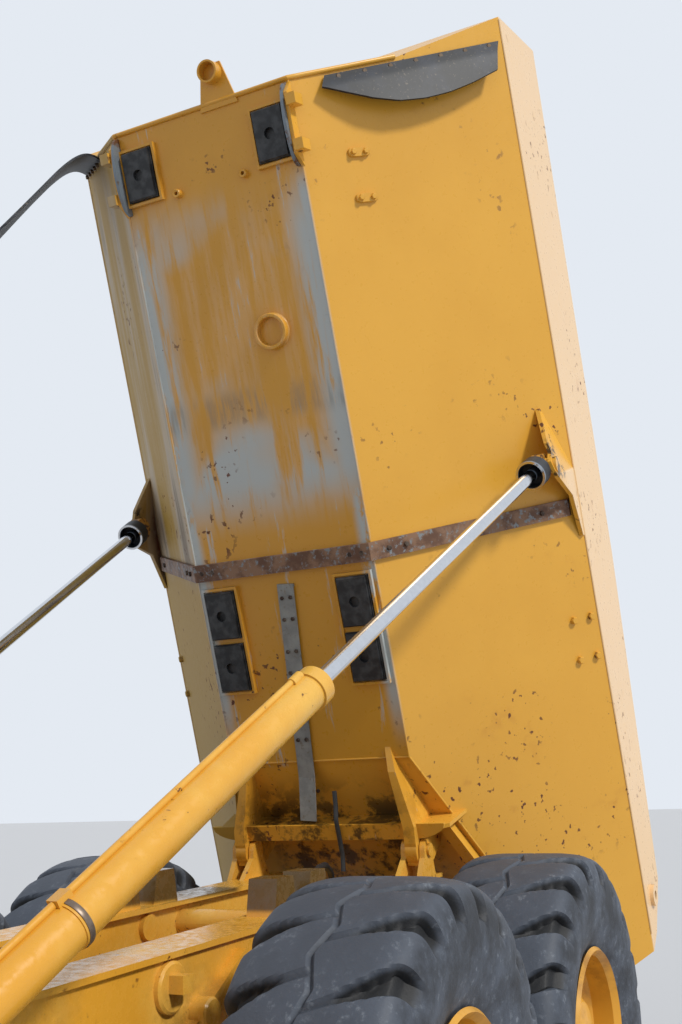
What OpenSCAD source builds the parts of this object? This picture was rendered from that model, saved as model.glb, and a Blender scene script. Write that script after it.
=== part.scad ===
// Articulated dump truck with a three-axle chassis and a rear-tipping body, body raised.
// X forward, Y to the driver's left, Z up. Lengths in millimetres.
// Stations along X are counted from the rearmost axle and centred on the whole machine by place().

/* [Wheels] */
// Outside diameter of a tyre
tyre_d = 1615; // [1560:5:1660]
// Width of a tyre
tyre_w = 640; // [600:5:660]
// Diameter of the bead seat, where the tyre sits on its rim
bead_d = 740; // [700:5:780]
// Width over the tyres
over_tyres = 3120; // [3060:10:3180]
// Tread blocks round each shoulder
tread_blocks = 20; // [16:1:24]
// Depth of the tread grooves, worn
groove_deep = 30; // [20:1:40]
// Radius of the wheel spindles
spindle_r = 80; // [70:1:90]

/* [Axles] */
// Distance between the two rear axles
bogie_gap = 1690; // [1660:5:1720]
// Distance from the front axle to the first rear axle
front_gap = 4175; // [4100:5:4250]
// Distance from the steering pivot to the front axle
hitch_back = 1210; // [1180:5:1240]
// Radius of the axle tubes
axle_r = 115; // [100:1:130]

/* [Rear frame] */
// Outer edge of the rail flanges, from the centre line
rail_out = 550; // [540:1:560]
// Width of a rail flange
flange_w = 240; // [220:1:250]
// Thickness of the rail flanges
flange_t = 22; // [16:1:30]
// Width of a rail's box web
web_w = 180; // [150:1:200]
// Height of the rails' tops at the rearmost axle
rail_top = 1466; // [1455:1:1475]
// Fall of the rails' tops towards the front, in degrees
rail_fall = 2.5; // [2:0.1:3]
// Radius of the body's hinge pins
hinge_pin_r = 34; // [28:1:38]
// Height of the roll axis in the coupling
roll_z = 940; // [920:5:960]

/* [Tipping body] */
// Body hinge, behind the rearmost axle
hinge_back = 309; // [295:1:320]
// Body hinge, above the ground
hinge_z = 1625; // [1610:1:1640]
// Tipping angle from the resting slope to the raised pose shown
tip_deg = 69.8; // [60:0.1:72]
// Belly plate above the hinge axis
belly_n = 59; // [50:1:65]
// Half width of the flat belly
belly_w = 550; // [520:5:580]
// Half width of the body over its side walls
wall_w = 1445; // [1430:5:1455]
// Height of the chine corner, where the side walls start
chine_n = 1035; // [1000:5:1060]
// Front end of the belly, from the hinge
belly_front = 4090; // [4050:5:4120]
// Where the floor turns up into the chute, from the hinge
kink_s = 490; // [450:5:520]
// Plate thickness of the body
plate_t = 18; // [12:1:24]

/* [Lift cylinders] */
// Lower pin of a lift cylinder: station, side and height
lift_base = [3980, 660, 858];
// Upper pin of a lift cylinder on the body: along, side and above the hinge
lift_top = [1877, 1340, 707];
// Outside diameter of the barrel
barrel_d = 142; // [130:1:156]
// Diameter of the rod
rod_d = 68; // [60:1:76]
// Length of the barrel from its lower pin
barrel_len = 2680; // [2600:5:2720]

/* [Tractor] */
// Front of the bonnet ahead of the front axle
nose_x = 2650; // [2550:5:2700]
// Height of the cab roof
cab_top = 3428; // [3400:1:3460]
// Gap between the cab's sides and the tyres' inner faces
cab_gap = 140; // [120:5:160]
// Height of the cab floor
cab_floor_z = 1640; // [1620:5:1660]
// Thickness of the cab's walls and doors
cab_t = 45; // [35:1:55]
// Half width of the bonnet at its rear
hood_w = 700; // [660:5:740]
// Sheet thickness of the bonnet
hood_t = 12; // [8:1:16]
// Half distance between the tractor rails' outer faces
tractor_rail = 330; // [310:1:345]

/* [Fits] */
// Running gap at pins, balls and rods
fit = 0.4; // [0.3:0.1:0.6]
// Gap at seats that touch
seat = 0.3; // [0.2:0.1:0.5]
// Clear space beside moving parts
clear = 6; // [5:1:10]

/* [Hidden] */
$fn = 64;

yellow = [0.87, 0.64, 0.22];
dark = [0.12, 0.13, 0.14];
tyre_grey = [0.28, 0.32, 0.36];
steel = [0.75, 0.76, 0.78];
rust = [0.42, 0.29, 0.2];

// Stations of the axles and of the steering pivot
axle_mid = bogie_gap;
axle_front = bogie_gap + front_gap;
pivot_x = axle_front - hitch_back;
tyre_r = tyre_d / 2;
wheel_out = over_tyres / 2;
wheel_in = wheel_out - tyre_w;
wheel_mid = wheel_out - tyre_w / 2;
cab_w = wheel_in - cab_gap;

// Body outline from the side, counted from the hinge: along, above
head_lean = 0.18;
wing_n = 528;
wing = 110;
head_back = 15;
head_top_n = 1900;
tail_tip = [-1180, 700];
tail_low = [-1137, 790];
tail_mid = [-1010, 1180];
tail_high = [-790, 1441];
rim_mid = [1230, 1666];
rim_front_n = 1779;
// The headboard's front line: leaning, then a wing forward up to the chine corner, then upright
function lip_s(n) = belly_front + (n - belly_n) * head_lean;
corner_s = lip_s(chine_n) + wing;
function head_s(n) = n < wing_n ? lip_s(n) : n < chine_n
    ? lip_s(wing_n) + (corner_s - lip_s(wing_n)) * (n - wing_n) / (chine_n - wing_n)
    : corner_s - head_back * (n - chine_n) / (rim_front_n - chine_n);
side_outline = [[belly_front, belly_n], [kink_s, belly_n], tail_tip, tail_low, tail_mid, tail_high,
                rim_mid, [head_s(rim_front_n), rim_front_n], [corner_s, chine_n],
                [lip_s(wing_n), wing_n]];

// A point of the body when it is raised, as station and height
function raised(p) = [-hinge_back + p[0] * cos(tip_deg) - p[1] * sin(tip_deg),
                      hinge_z + p[0] * sin(tip_deg) + p[1] * cos(tip_deg)];

// The machine's ends along X, and the middle between them
tail_x = min([for (p = side_outline) raised(p)[0]]);
front_x = axle_front + nose_x;
mid_x = (tail_x + front_x) / 2;

module place() {
    translate([-mid_x, 0, 0]) children();
}

// Both sides of the machine
module both() {
    children();
    mirror([0, 1, 0]) children();
}

// The body's own axes, raised: X along the floor from the hinge, Z up from it
module on_bed() {
    translate([-hinge_back, 0, hinge_z]) rotate([0, -tip_deg, 0]) children();
}

// A side outline of X and Z points, extruded across the machine between two Y values
module slab(outline, y0, y1) {
    translate([0, y1, 0]) rotate([90, 0, 0]) linear_extrude(y1 - y0) polygon(outline);
}

// A cylinder along Y between two Y values
module bar_y(x, z, r, y0, y1) {
    translate([x, y0, z]) rotate([-90, 0, 0]) cylinder(r = r, h = y1 - y0);
}

// A cylinder along X between two stations
module bar_x(y, z, r, x0, x1) {
    translate([x0, y, z]) rotate([0, 90, 0]) cylinder(r = r, h = x1 - x0);
}

module box(low, high) {
    translate(low) cube(high - low);
}

// A profile of radius and Y points, turned about the Y axis
module turned_y(profile) {
    rotate([-90, 0, 0]) rotate_extrude($fn = 96) polygon(profile);
}

// Children drawn along +Z are turned to point from one place to another
module aim(from, to) {
    d = to - from;
    translate(from) rotate([0, acos(d[2] / norm(d)), atan2(d[1], d[0])]) children();
}

// The unit vector along v
function unit(v) = v / norm(v);

// A route with each inner corner rounded, bend being the length taken off both sides of it
function rounded(p, bend) = [p[0], for (i = [1:len(p) - 2])
    let (a = p[i] + unit(p[i - 1] - p[i]) * bend, c = p[i] + unit(p[i + 1] - p[i]) * bend)
        for (t = [0:0.25:1]) (1 - t) * (1 - t) * a + 2 * t * (1 - t) * p[i] + t * t * c, p[len(p) - 1]];

// The direction of a route at each of its points
function headings(p) = [for (i = [0:len(p) - 1])
    unit(p[min(i + 1, len(p) - 1)] - p[max(i - 1, 0)])];

// A vector square to each heading, carried along the route with no twist
function squares(h, start) = [for (i = 0, n = unit(cross(h[0], start)); i < len(h);
    i = i + 1, n = i < len(h) ? unit(n - (n * h[i]) * h[i]) : n) n];

// A round tube along a route, one ring of points for each of the route's points
module piping(points, r, start = [0.3, 0.2, 1]) {
    sides = 10;
    h = headings(points);
    n = squares(h, start);
    rings = [for (i = [0:len(points) - 1], k = [0:sides - 1])
        points[i] + r * (cos(k * 360 / sides) * n[i] + sin(k * 360 / sides) * cross(h[i], n[i]))];
    last = len(points) - 1;
    walls = [for (i = [0:last - 1], k = [0:sides - 1])
        [i * sides + k, (i + 1) * sides + k, (i + 1) * sides + (k + 1) % sides, i * sides + (k + 1) % sides]];
    polyhedron(rings, concat([[for (k = [0:sides - 1]) k]], walls,
                             [[for (k = [sides - 1:-1:0]) last * sides + k]]));
}

// Wheels
bead_r = bead_d / 2;
bulge_r = 0.74 * tyre_r;
shoulder_drop = 34;
crown_w = 0.6 * tyre_w;
rim_t = 16;
disc_y = wheel_mid + 90;
hub_r = 190;
hub_end = wheel_out - 96;
spindle_end = disc_y + 70;

module tyre_shape() {
    half = tyre_w / 2;
    bead_half = half - 70;
    pitch = 360 / tread_blocks;
    groove_w = 62;
    groove_len = 190;
    slant = 14;
    side = [[bead_r + seat, bead_half], [bead_r + 60, bead_half + 26], [bulge_r - 90, half - 8],
            [bulge_r, half], [bulge_r + 90, half - 10], [tyre_r - shoulder_drop, half - 34],
            [tyre_r - 8, crown_w / 2 + 30], [tyre_r, crown_w / 2]];
    other = [for (i = [len(side) - 1:-1:0]) [side[i][0], -side[i][1]]];
    difference() {
        translate([0, wheel_mid, 0]) turned_y(concat(side, other));
        for (k = [0:tread_blocks - 1], s = [-1, 1])
            rotate([0, (k + s / 4) * pitch, 0])
                translate([0, wheel_mid + s * (half - groove_len / 2 + 12), tyre_r])
                    rotate([0, 0, s * slant])
                        cube([groove_w, groove_len, 2 * groove_deep], center = true);
    }
}

module rim_shape() {
    flange_r = bead_r + 22;
    well_r = bead_r - 40;
    half = tyre_w / 2 - 70 - seat;
    barrel = [[bead_r, -half], [flange_r, -half - 24], [flange_r - rim_t, -half - 40],
              [bead_r - rim_t, -half - 8], [bead_r - rim_t, -half + 90], [well_r - rim_t, -half + 150],
              [well_r - rim_t, half - 150], [bead_r - rim_t, half - 90], [bead_r - rim_t, half + 8],
              [flange_r - rim_t, half + 40], [flange_r, half + 24], [bead_r, half],
              [bead_r, half - 90], [well_r, half - 150], [well_r, 150 - half], [bead_r, 90 - half]];
    dish = [[0, disc_y - wheel_mid], [well_r - 6, disc_y - wheel_mid - 60],
            [well_r - 6, disc_y - wheel_mid - 38], [hub_r, disc_y - wheel_mid + 24],
            [hub_r, hub_end - wheel_mid - 50], [hub_r - 40, hub_end - wheel_mid - 16],
            [70, hub_end - wheel_mid], [0, hub_end - wheel_mid]];
    hub_in = disc_y - 20;
    difference() {
        union() {
            translate([0, wheel_mid, 0]) turned_y(barrel);
            translate([0, wheel_mid, 0]) turned_y(dish);
            bar_y(0, 0, hub_r - 30, hub_in, disc_y + 30);
        }
        bar_y(0, 0, spindle_r + fit, hub_in - 10, spindle_end + clear);
    }
}

module at_wheel(x, side) {
    translate([x, 0, tyre_r]) mirror([0, side < 0 ? 1 : 0, 0]) children();
}

module tyre(x, side) {
    color(tyre_grey) place() at_wheel(x, side) tyre_shape();
}

module rim(x, side) {
    color(yellow) place() at_wheel(x, side) rim_shape();
}

// One axle: its tube, centre housing, hub ends and spindles
module axle(x) {
    centre_r = 240;
    centre_w = 170;
    hub_in_y = wheel_in - 40;
    translate([x, 0, tyre_r]) {
        bar_y(0, 0, axle_r, -hub_in_y, hub_in_y);
        turned_y([[0, -centre_w - 70], [axle_r, -centre_w - 70], [centre_r, -centre_w / 2],
                  [centre_r, centre_w / 2], [axle_r, centre_w + 70], [0, centre_w + 70]]);
        both() turned_y([[0, hub_in_y - 30], [axle_r, hub_in_y - 30], [hub_r - 10, hub_in_y + 30],
                         [hub_r - 10, disc_y - 80], [spindle_r, disc_y - 60],
                         [spindle_r, spindle_end], [0, spindle_end]]);
    }
}

// Rear frame
web_out = rail_out - 20;
web_in = web_out - web_w;
function top_z(x) = rail_top - x * tan(rail_fall);
frame_head = pivot_x - 475;
rail_nose = frame_head - 280;
nose_back = rail_nose - 60;
rail_tail = -600;
rail_low = 640;
arch_low = 1060;
bogie_x = bogie_gap / 2;
bogie_z = 930;
bogie_tube_r = 105;
leg_in = 490;
leg_t = 65;
ear_gap = clear;
ear_t = 30;
ear_r = 56;
nose_r = 230;
shaft_r = 150;
lift_plate_out = lift_base[1] - 72;

module rail() {
    low = flange_t;
    side = [[rail_tail, top_z(rail_tail) - low], [nose_back, top_z(nose_back) - low],
            [nose_back, rail_low], [2500, rail_low], [2150, arch_low], [rail_tail + 120, arch_low],
            [rail_tail, arch_low + 90]];
    slab(side, web_in, web_out);
    slab([[rail_tail, top_z(rail_tail)], [nose_back, top_z(nose_back)],
          [nose_back, top_z(nose_back) - low], [rail_tail, top_z(rail_tail) - low]],
         rail_out - flange_w, rail_out);
}

// Locking disc with its square stub, and the round end of a suspension pin, outside each rail
module rail_disc() {
    disc = [1980, 1262];
    disc_r = 88;
    pin_end = [1796, 1150];
    turned_at(disc) turned_y([[0, web_out - 5], [disc_r, web_out - 5], [disc_r, web_out + 18],
                              [disc_r - 10, web_out + 26], [0, web_out + 26]]);
    box([disc[0] - 34, web_out, disc[1] + 14 - 30], [disc[0] + 34, web_out + 84, disc[1] + 14 + 30]);
    turned_at(pin_end) turned_y([[0, web_out - 5], [58, web_out - 5], [58, web_out + 62],
                                 [50, web_out + 70], [0, web_out + 70]]);
    slab([[1880, 1120], [1790, 1090], [1470, 1290], [1530, 1340]], web_out - 5, web_out + 44);
}

module turned_at(place_xz) {
    translate([place_xz[0], 0, place_xz[1]]) children();
}

// Ear plates of the body hinge on one rail, with the hinge pin
module hinge_ears() {
    x = -hinge_back;
    block_z = [1180, 1260];
    foot = [-190, 230];
    foot_z = 1400;
    out = leg_in + leg_t + ear_gap;
    for (ear = [[leg_in - ear_gap - ear_t, foot_z], [out, block_z[0] + 60]])
        slab([[x - ear_r, hinge_z - 40], [x + foot[0], ear[1]], [x + foot[1], ear[1]],
              [x + ear_r, hinge_z - 40], [x + ear_r, hinge_z], [x - ear_r, hinge_z]],
             ear[0], ear[0] + ear_t);
    for (y = [leg_in - ear_gap - ear_t, out])
        bar_y(x, hinge_z, ear_r, y, y + ear_t);
    bar_y(x, hinge_z, hinge_pin_r, leg_in - ear_gap - 20, out + ear_t + 14);
    box([x + foot[0], web_out - 20, block_z[0]], [x + foot[1], out + ear_t, block_z[1]]);
}

// Bracket of a lift cylinder: plate, pin and the ball that its lower eye turns on
ball_r = 50;
lift_pin_r = 36;
module lift_bracket() {
    x = lift_base[0];
    z = lift_base[2];
    y = lift_base[1];
    slab([[x - 140, z + 190], [x - 140, z - 90], [x - 80, z - 150], [x + 80, z - 150],
          [x + 140, z - 90], [x + 140, z + 190]], 460, lift_plate_out);
    bar_y(x, z, lift_pin_r, lift_plate_out - 8, y + 50);
    translate([x, y, z]) sphere(r = ball_r);
}

// Gap between the lowered body and the rails, filled by the body's pads and the rails' rests
plate_stand = 14;
pad_h = 34;
pad_gap = (hinge_z + belly_n) - (rail_top + hinge_back * tan(rail_fall));
rest_h = pad_gap - plate_stand - pad_h - clear;
function rest_x(s) = -hinge_back + s * cos(rail_fall);

pad_front = 3840;
pad_rows = [pad_front, 1360, 1060];
pad_y = 415;
pad_len = 270;
pad_wide = 185;

module rests() {
    for (s = pad_rows)
        translate([rest_x(s), pad_y, top_z(rest_x(s))]) rotate([0, rail_fall, 0])
            slab([[-100, -10], [100, -10], [70, rest_h], [-70, rest_h]], -70, 70);
}

module rear_rails() {
    color(yellow) place() both() {
        rail();
        rail_disc();
        hinge_ears();
        rests();
        bar_y(900, 1335, 58, web_in - 26, web_in + 5);
        slab([[bogie_x - 230, arch_low + 40], [bogie_x - 130, bogie_z - 130],
              [bogie_x + 130, bogie_z - 130], [bogie_x + 230, arch_low + 40]], web_in, web_out);
        bar_y(bogie_x, bogie_z, bogie_tube_r, web_in, bogie_end);
    }
}

// Coupling tube, nose box, cross tubes, lift brackets and tail plate between the two rails
module rear_frame() {
    tail_z = 1000;
    color(yellow) place() difference() {
        union() {
            both() lift_bracket();
            box([nose_back, -560, rail_low], [frame_head - 60, 560, top_z(frame_head) - 60]);
            bar_x(0, roll_z, nose_r, frame_head - 120, frame_head + 30);
            for (tube = [[2650, 1120, 110], [bogie_x, 1120, 90], [600, 1330, 62],
                         [-hinge_back, tube_z, tube_r]])
                bar_y(tube[0], tube[1], tube[2], -web_in, web_in);
            box([rail_tail, -web_in, arch_low + 90], [rail_tail + 60, web_in, arch_low + 330]);
            box([rail_tail - 250, -130, tail_z + 60], [rail_tail + 40, 130, tail_z + 140]);
            box([rail_tail - 40, -150, tail_z - 20], [rail_tail + 40, 150, tail_z + 260]);
        }
        bar_x(0, roll_z, shaft_r + fit, frame_head - 300, frame_head + 60);
        translate([tow_rear_x, 0, tail_z]) cylinder(r = tow_r, h = 200);
    }
}

tow_r = 28;
tow_rear_x = rail_tail - 180;
bogie_end = 790;

// Walking beams, one each side, on the bogie tube's ends, with rubber blocks over the axles
beam_in = 600;
beam_out = 740;
module bogie_beams() {
    low = tyre_r - 40;
    over = tyre_r + axle_r;
    color(yellow) place() both() difference() {
        union() {
            slab([[-150, over + 20], [-150, over + 110], [bogie_x - 260, bogie_z + 170],
                  [bogie_x + 260, bogie_z + 170], [bogie_gap + 150, over + 110],
                  [bogie_gap + 150, over + 20], [bogie_gap - 170, over + 20],
                  [bogie_x + 240, bogie_z - 160], [bogie_x - 240, bogie_z - 160],
                  [170, over + 20]], beam_in, beam_out);
            for (x = [0, bogie_gap])
                box([x - 110, beam_in - 10, over + seat], [x + 110, beam_out + 10, over + 60]);
        }
        bar_y(bogie_x, bogie_z, bogie_tube_r + fit, beam_in - 20, beam_out + 20);
    }
}

module bogie_axles() {
    shaft = 55;
    color(yellow) place() {
        axle(0);
        axle(axle_mid);
        bar_x(0, tyre_r + 20, shaft, 200, axle_mid - 200);
        bar_x(0, tyre_r + 20, shaft, axle_mid + 200, nose_back - seat);
    }
}

// Loop of hose clipped along the rear cross tube
tube_r = 80;
tube_z = 1330;
loop_r = 17;
loop_z = tube_z + tube_r + loop_r + seat;
hose_loop = [[-hinge_back, -80, loop_z], [-hinge_back, 20, loop_z], [-200, 60, 1520], [-80, 90, 1560],
             [60, 120, 1550], [150, 140, 1500], [120, 160, 1440], [0, 170, 1400], [-180, 165, loop_z],
             [-hinge_back, 160, loop_z], [-hinge_back, 90, loop_z]];
module frame_hoses() {
    color(dark) place() piping(rounded(hose_loop, 30), loop_r);
}

module tail_lamps() {
    x = rail_tail;
    color([0.6, 0.1, 0.08]) place() both()
        box([x - 75, 330, arch_low + 140], [x - seat, 510, arch_low + 260]);
}

// Coupling between the two frames: steering pivot at its front, roll shaft at its back
pin_r = 60;
yoke_low = 760;
yoke_high = 1120;
steer_ear = [-250, 360];
steer_z = 840;
steer_eye_h = 72;
module hitch() {
    color(yellow) place() difference() {
        union() {
            translate([pivot_x, 0, yoke_low + clear]) cylinder(r = 150, h = yoke_high - yoke_low - 2 * clear);
            slab([[pivot_x, yoke_low + 40], [pivot_x - 250, roll_z - 210], [pivot_x - 380, roll_z - 210],
                  [pivot_x - 380, roll_z + 210], [pivot_x - 250, roll_z + 210], [pivot_x, yoke_high - 40]],
                 -120, 120);
            bar_x(0, roll_z, nose_r, frame_head + 30 + clear, pivot_x - 300);
            bar_x(0, roll_z, shaft_r, frame_head - 180, pivot_x - 300);
            both() hitch_ear();
        }
        translate([pivot_x, 0, yoke_low - 10]) cylinder(r = pin_r + fit, h = yoke_high - yoke_low + 20);
    }
}

// Ear for the eye of a steering rod, under the eye
module hitch_ear() {
    x = pivot_x + steer_ear[0];
    low = yoke_low + clear;
    high = steer_z - steer_eye_h / 2 - seat;
    ear_half = 52;
    translate([x, steer_ear[1], low]) cylinder(r = ear_half, h = high - low);
    box([x - ear_half, 60, low], [x + ear_half, steer_ear[1], high]);
}

// Tractor
frame_back = pivot_x + 190;
rail_start = pivot_x + 560;
rail_t = 90;
frame_low = 930;
frame_high = 1180;
bumper_x = front_x - 330;
bumper_t = 150;
bumper_low = 700;
bumper_high = 1100;
bumper_w = wheel_in - 20;
tow_front_x = bumper_x + 240;
tow_z = 760;
module tractor_frame() {
    yoke_w = 190;
    yoke_t = 50;
    color(yellow) place() difference() {
        union() {
            both() box([rail_start, tractor_rail - rail_t, frame_low],
                       [bumper_x + 10, tractor_rail, frame_high]);
            box([frame_back, -yoke_w, yoke_low - yoke_t], [rail_start + 40, yoke_w, frame_high]);
            box([rail_start, -tractor_rail, frame_low], [rail_start + 90, tractor_rail, frame_high]);
            for (z = [yoke_low - yoke_t, yoke_high])
                hull() {
                    translate([pivot_x, 0, z]) cylinder(r = 140, h = yoke_t, $fn = 32);
                    translate([frame_back + 40, -yoke_w, z]) cube([50, 2 * yoke_w, yoke_t]);
                }
            translate([pivot_x, 0, yoke_low - yoke_t - 20])
                cylinder(r = pin_r, h = yoke_high - yoke_low + 140);
            for (x = [axle_front + 500, axle_front + 1400])
                box([x, -tractor_rail, frame_low + 30], [x + 90, tractor_rail, frame_low + 130]);
            box([bumper_x, -bumper_w, bumper_low], [bumper_x + bumper_t, bumper_w, bumper_high]);
            both() box([bumper_x, bumper_w - 10, bumper_low + 60],
                       [bumper_x + 90, step_out - 160, bumper_high - 60]);
            both() steer_bracket();
            both() hood_bracket();
            for (x = [step_x0 - bracket_w - seat, step_x0 + step_w + 20 + seat])
                both() box([x, tractor_rail - 10, frame_low],
                           [x + bracket_w, step_out, frame_low + bracket_w]);
            box([bumper_x + 100, -70, tow_z - 40], [bumper_x + 330, 70, tow_z + 40]);
        }
        translate([tow_front_x, 0, tow_z - 60]) cylinder(r = tow_r, h = 120);
    }
}

// Pin of a steering cylinder's barrel, hung under a block on the tractor rail
steer_base = [1000, 410];
steer_r = 62;
steer_pin_r = 28;
steer_top = steer_z + steer_r + clear;
module steer_bracket() {
    x = pivot_x + steer_base[0];
    box([x - 60, tractor_rail - 10, steer_top], [x + 60, steer_base[1] + 50, steer_top + 80]);
    translate([x, steer_base[1], steer_z - 50]) cylinder(r = steer_pin_r, h = steer_top - steer_z + 60);
}

// Two plates on the bumper that hold a hinge pin of the bonnet
hood_pin_r = 18;
module hood_bracket() {
    x = hood_hinge[0];
    z = hood_hinge[1];
    for (y = [300, 435])
        box([x - 60, y, bumper_high - 40], [x + 34, y + 25, z + 34]);
    bar_y(x, z, hood_pin_r, 300, 460);
}

module front_axle() {
    color(yellow) place() {
        axle(axle_front);
        both() box([axle_front - 90, tractor_rail - rail_t + 6, tyre_r + axle_r - 30],
                   [axle_front + 90, tractor_rail - 6, frame_low - seat]);
    }
}

module engine() {
    x0 = axle_front + 560;
    top = 1780;
    color([0.3, 0.32, 0.33]) place() {
        box([x0, -tractor_rail, frame_high + seat], [x0 + 1150, tractor_rail, top]);
        box([x0 + 120, -240, top - 80], [x0 + 1030, 240, top + 110]);
        bar_x(0, 1480, 280, x0 + 1140, x0 + 1210);
    }
}

// Cab outline from the side: station and height
cab_back = pivot_x + 270;
cab_front = cab_back + 1430;
cab_sill = 2080;
cab_head = cab_top - 250;
screen_lean = 190;
cab_low = frame_high + seat;
cab_outline = [[cab_back, cab_low], [cab_front - 60, cab_low], [cab_front, cab_sill],
               [cab_front - screen_lean, cab_head], [cab_back, cab_head]];
door_x0 = cab_back + 150;
door_x1 = cab_back + 1000;
door_z0 = cab_floor_z + 60;
door_z1 = cab_head - 70;
post = 90;

// The small window ahead of the door, shrunk by a gap on every side
module front_light(y0, y1, gap = 0) {
    slab([[door_x1 + post + gap, cab_sill + 20 + gap], [cab_front - 110 - gap, cab_sill + 20 + gap],
          [cab_front - 110 - screen_lean * 0.8 - gap, cab_head - 70 - gap],
          [door_x1 + post + gap, cab_head - 70 - gap]], y0, y1);
}

// The large window opposite the door, shrunk by a gap on every side
module side_light(y0, y1, gap = 0) {
    box([door_x0 + gap, y0, cab_sill + 20 + gap], [door_x1 - gap, y1, cab_head - 70 - gap]);
}

// Places children against the windscreen: Z up along it, X out of it
module on_screen() {
    translate([cab_front, 0, cab_sill])
        rotate([0, -atan2(screen_lean, cab_head - cab_sill), 0]) children();
}
screen_h = norm([screen_lean, cab_head - cab_sill]);
glass_t = 8;

module cab() {
    inner_w = cab_w - cab_t;
    under = cab_floor_z - 50;
    color(yellow) place() {
        difference() {
            slab(cab_outline, -cab_w, cab_w);
            slab([[cab_back + cab_t, cab_floor_z], [cab_front - 40 - cab_t, cab_floor_z],
                  [cab_front - cab_t, cab_sill], [cab_front - screen_lean - cab_t, cab_head + 10],
                  [cab_back + cab_t, cab_head + 10]], -inner_w, inner_w);
            on_screen() box([-2 * cab_t, -inner_w + post / 2, 60],
                            [2 * cab_t, inner_w - post / 2, screen_h - 70]);
            box([cab_back - 10, -inner_w + post, cab_sill + 20],
                [cab_back + 2 * cab_t, inner_w - post, cab_head - 90]);
            box([door_x0, inner_w - 10, door_z0], [door_x1, cab_w + 10, door_z1]);
            front_light(inner_w - 10, cab_w + 10);
            front_light(-cab_w - 10, -inner_w + 10);
            side_light(-cab_w - 10, -inner_w + 10);
            for (x = [[cab_back + 180, cab_back + 660], [cab_back + 780, cab_front - 260]])
                box([x[0], -inner_w, cab_low - 10], [x[1], inner_w, under]);
            box([cab_back - 10, -tractor_rail + 80, cab_low - 10],
                [cab_front - 140, tractor_rail - 80, under]);
        }
        for (z = door_hinges)
            door_bracket(z);
    }
}

// Lugs on the cab's door post, above and below one knuckle of the door, with their pin
module door_bracket(z) {
    out = hinge_door[1] + 16;
    for (low = [z - 40, z + knuckle_h + clear]) {
        box([door_x0 - 70, cab_w - 5, low], [door_x0 - clear, out, low + 40 - clear]);
        box([door_x0 - 20, cab_w + clear, low], [hinge_door[0] + 14, out, low + 40 - clear]);
    }
    translate([hinge_door[0], hinge_door[1], z - 40]) cylinder(r = door_pin_r, h = knuckle_h + 80, $fn = 32);
}

module cab_roof() {
    over = 60;
    color(yellow) place()
        slab([[cab_back - over, cab_head + seat], [cab_front - screen_lean + over, cab_head + seat],
              [cab_front - screen_lean + over + 30, cab_head + 90],
              [cab_front - screen_lean - 80, cab_top - 20], [cab_front - screen_lean - 300, cab_top],
              [cab_back + 250, cab_top], [cab_back, cab_top - 30], [cab_back - over, cab_head + 110]],
             -cab_w - 10, cab_w + 10);
}

module cab_glass() {
    inner_w = cab_w - cab_t;
    in_wall = cab_w - 15;
    color([0.55, 0.65, 0.7, 0.4]) place() {
        on_screen() box([-30, -inner_w + post / 2 + seat, 60 + seat],
                        [-30 + glass_t, inner_w - post / 2 - seat, screen_h - 70 - seat]);
        box([cab_back + 15, -inner_w + post + seat, cab_sill + 20 + seat],
            [cab_back + 15 + glass_t, inner_w - post - seat, cab_head - 90 - seat]);
        side_light(-in_wall, -in_wall + glass_t, seat);
        both() front_light(in_wall - glass_t, in_wall, seat);
    }
}

// Seat, console and steering wheel, all standing on the floor
module cab_inside() {
    x = cab_back + 480;
    z = cab_floor_z + seat;
    wheel_x = x + 560;
    color(dark) place() {
        box([x - 170, -170, z], [x + 170, 170, z + 260]);
        box([x - 250, -260, z + 240], [x + 260, 260, z + 400]);
        slab([[x - 250, z + 380], [x - 120, z + 380], [x - 190, z + 1050], [x - 280, z + 1050]], -230, 230);
        slab([[cab_front - 330, z], [cab_front - 120, z], [cab_front - 110, cab_sill - 60],
              [cab_front - 300, cab_sill + 40], [cab_front - 380, cab_sill - 40]], -600, 600);
        aim([cab_front - 330, 0, z + 420], [wheel_x - 40, 0, z + 700]) cylinder(r = 35, h = 260, $fn = 24);
        translate([wheel_x + 20, 0, z + 640]) rotate([0, -50, 0]) {
            rotate_extrude() translate([210, 0]) circle(r = 18, $fn = 24);
            box([-205, -20, -12], [205, 20, 12]);
            box([-20, -205, -12], [20, 205, 12]);
        }
    }
}

// Front mudguards, each with an inner skirt and two brackets to the cab
fender_gap = 62;
fender_t = 14;
fender_r = tyre_r + fender_gap + fender_t;
module fenders() {
    skirt_y = wheel_in - 44;
    reach = 2000;
    $fn = 180;
    function away(a) = [axle_front + reach * cos(a), tyre_r + reach * sin(a)];
    color(yellow) place() both() {
        difference() {
            intersection() {
                union() {
                    bar_y(axle_front, tyre_r, fender_r, wheel_in - 30, wheel_out - 20);
                    bar_y(axle_front, tyre_r, fender_r - 4, skirt_y, wheel_in - 29);
                }
                slab([[axle_front, tyre_r], away(22), away(50), away(90), away(130), away(152)],
                     skirt_y - 10, wheel_out);
            }
            bar_y(axle_front, tyre_r, fender_r - fender_t, wheel_in - 30, wheel_out);
            slab([[axle_front - reach, 1400], [axle_front - 620, 1400], [axle_front + 620, 780],
                  [axle_front + 620, 0], [axle_front - reach, 0]], skirt_y - 10, wheel_in - 30);
            bar_y(axle_front, tyre_r, hub_r + 40, skirt_y - 10, wheel_in - 20);
        }
        for (x = [axle_front - 340, axle_front + 260])
            box([x, cab_w + seat, 1400], [x + 70, skirt_y + 5, 1460]);
    }
}

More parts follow.
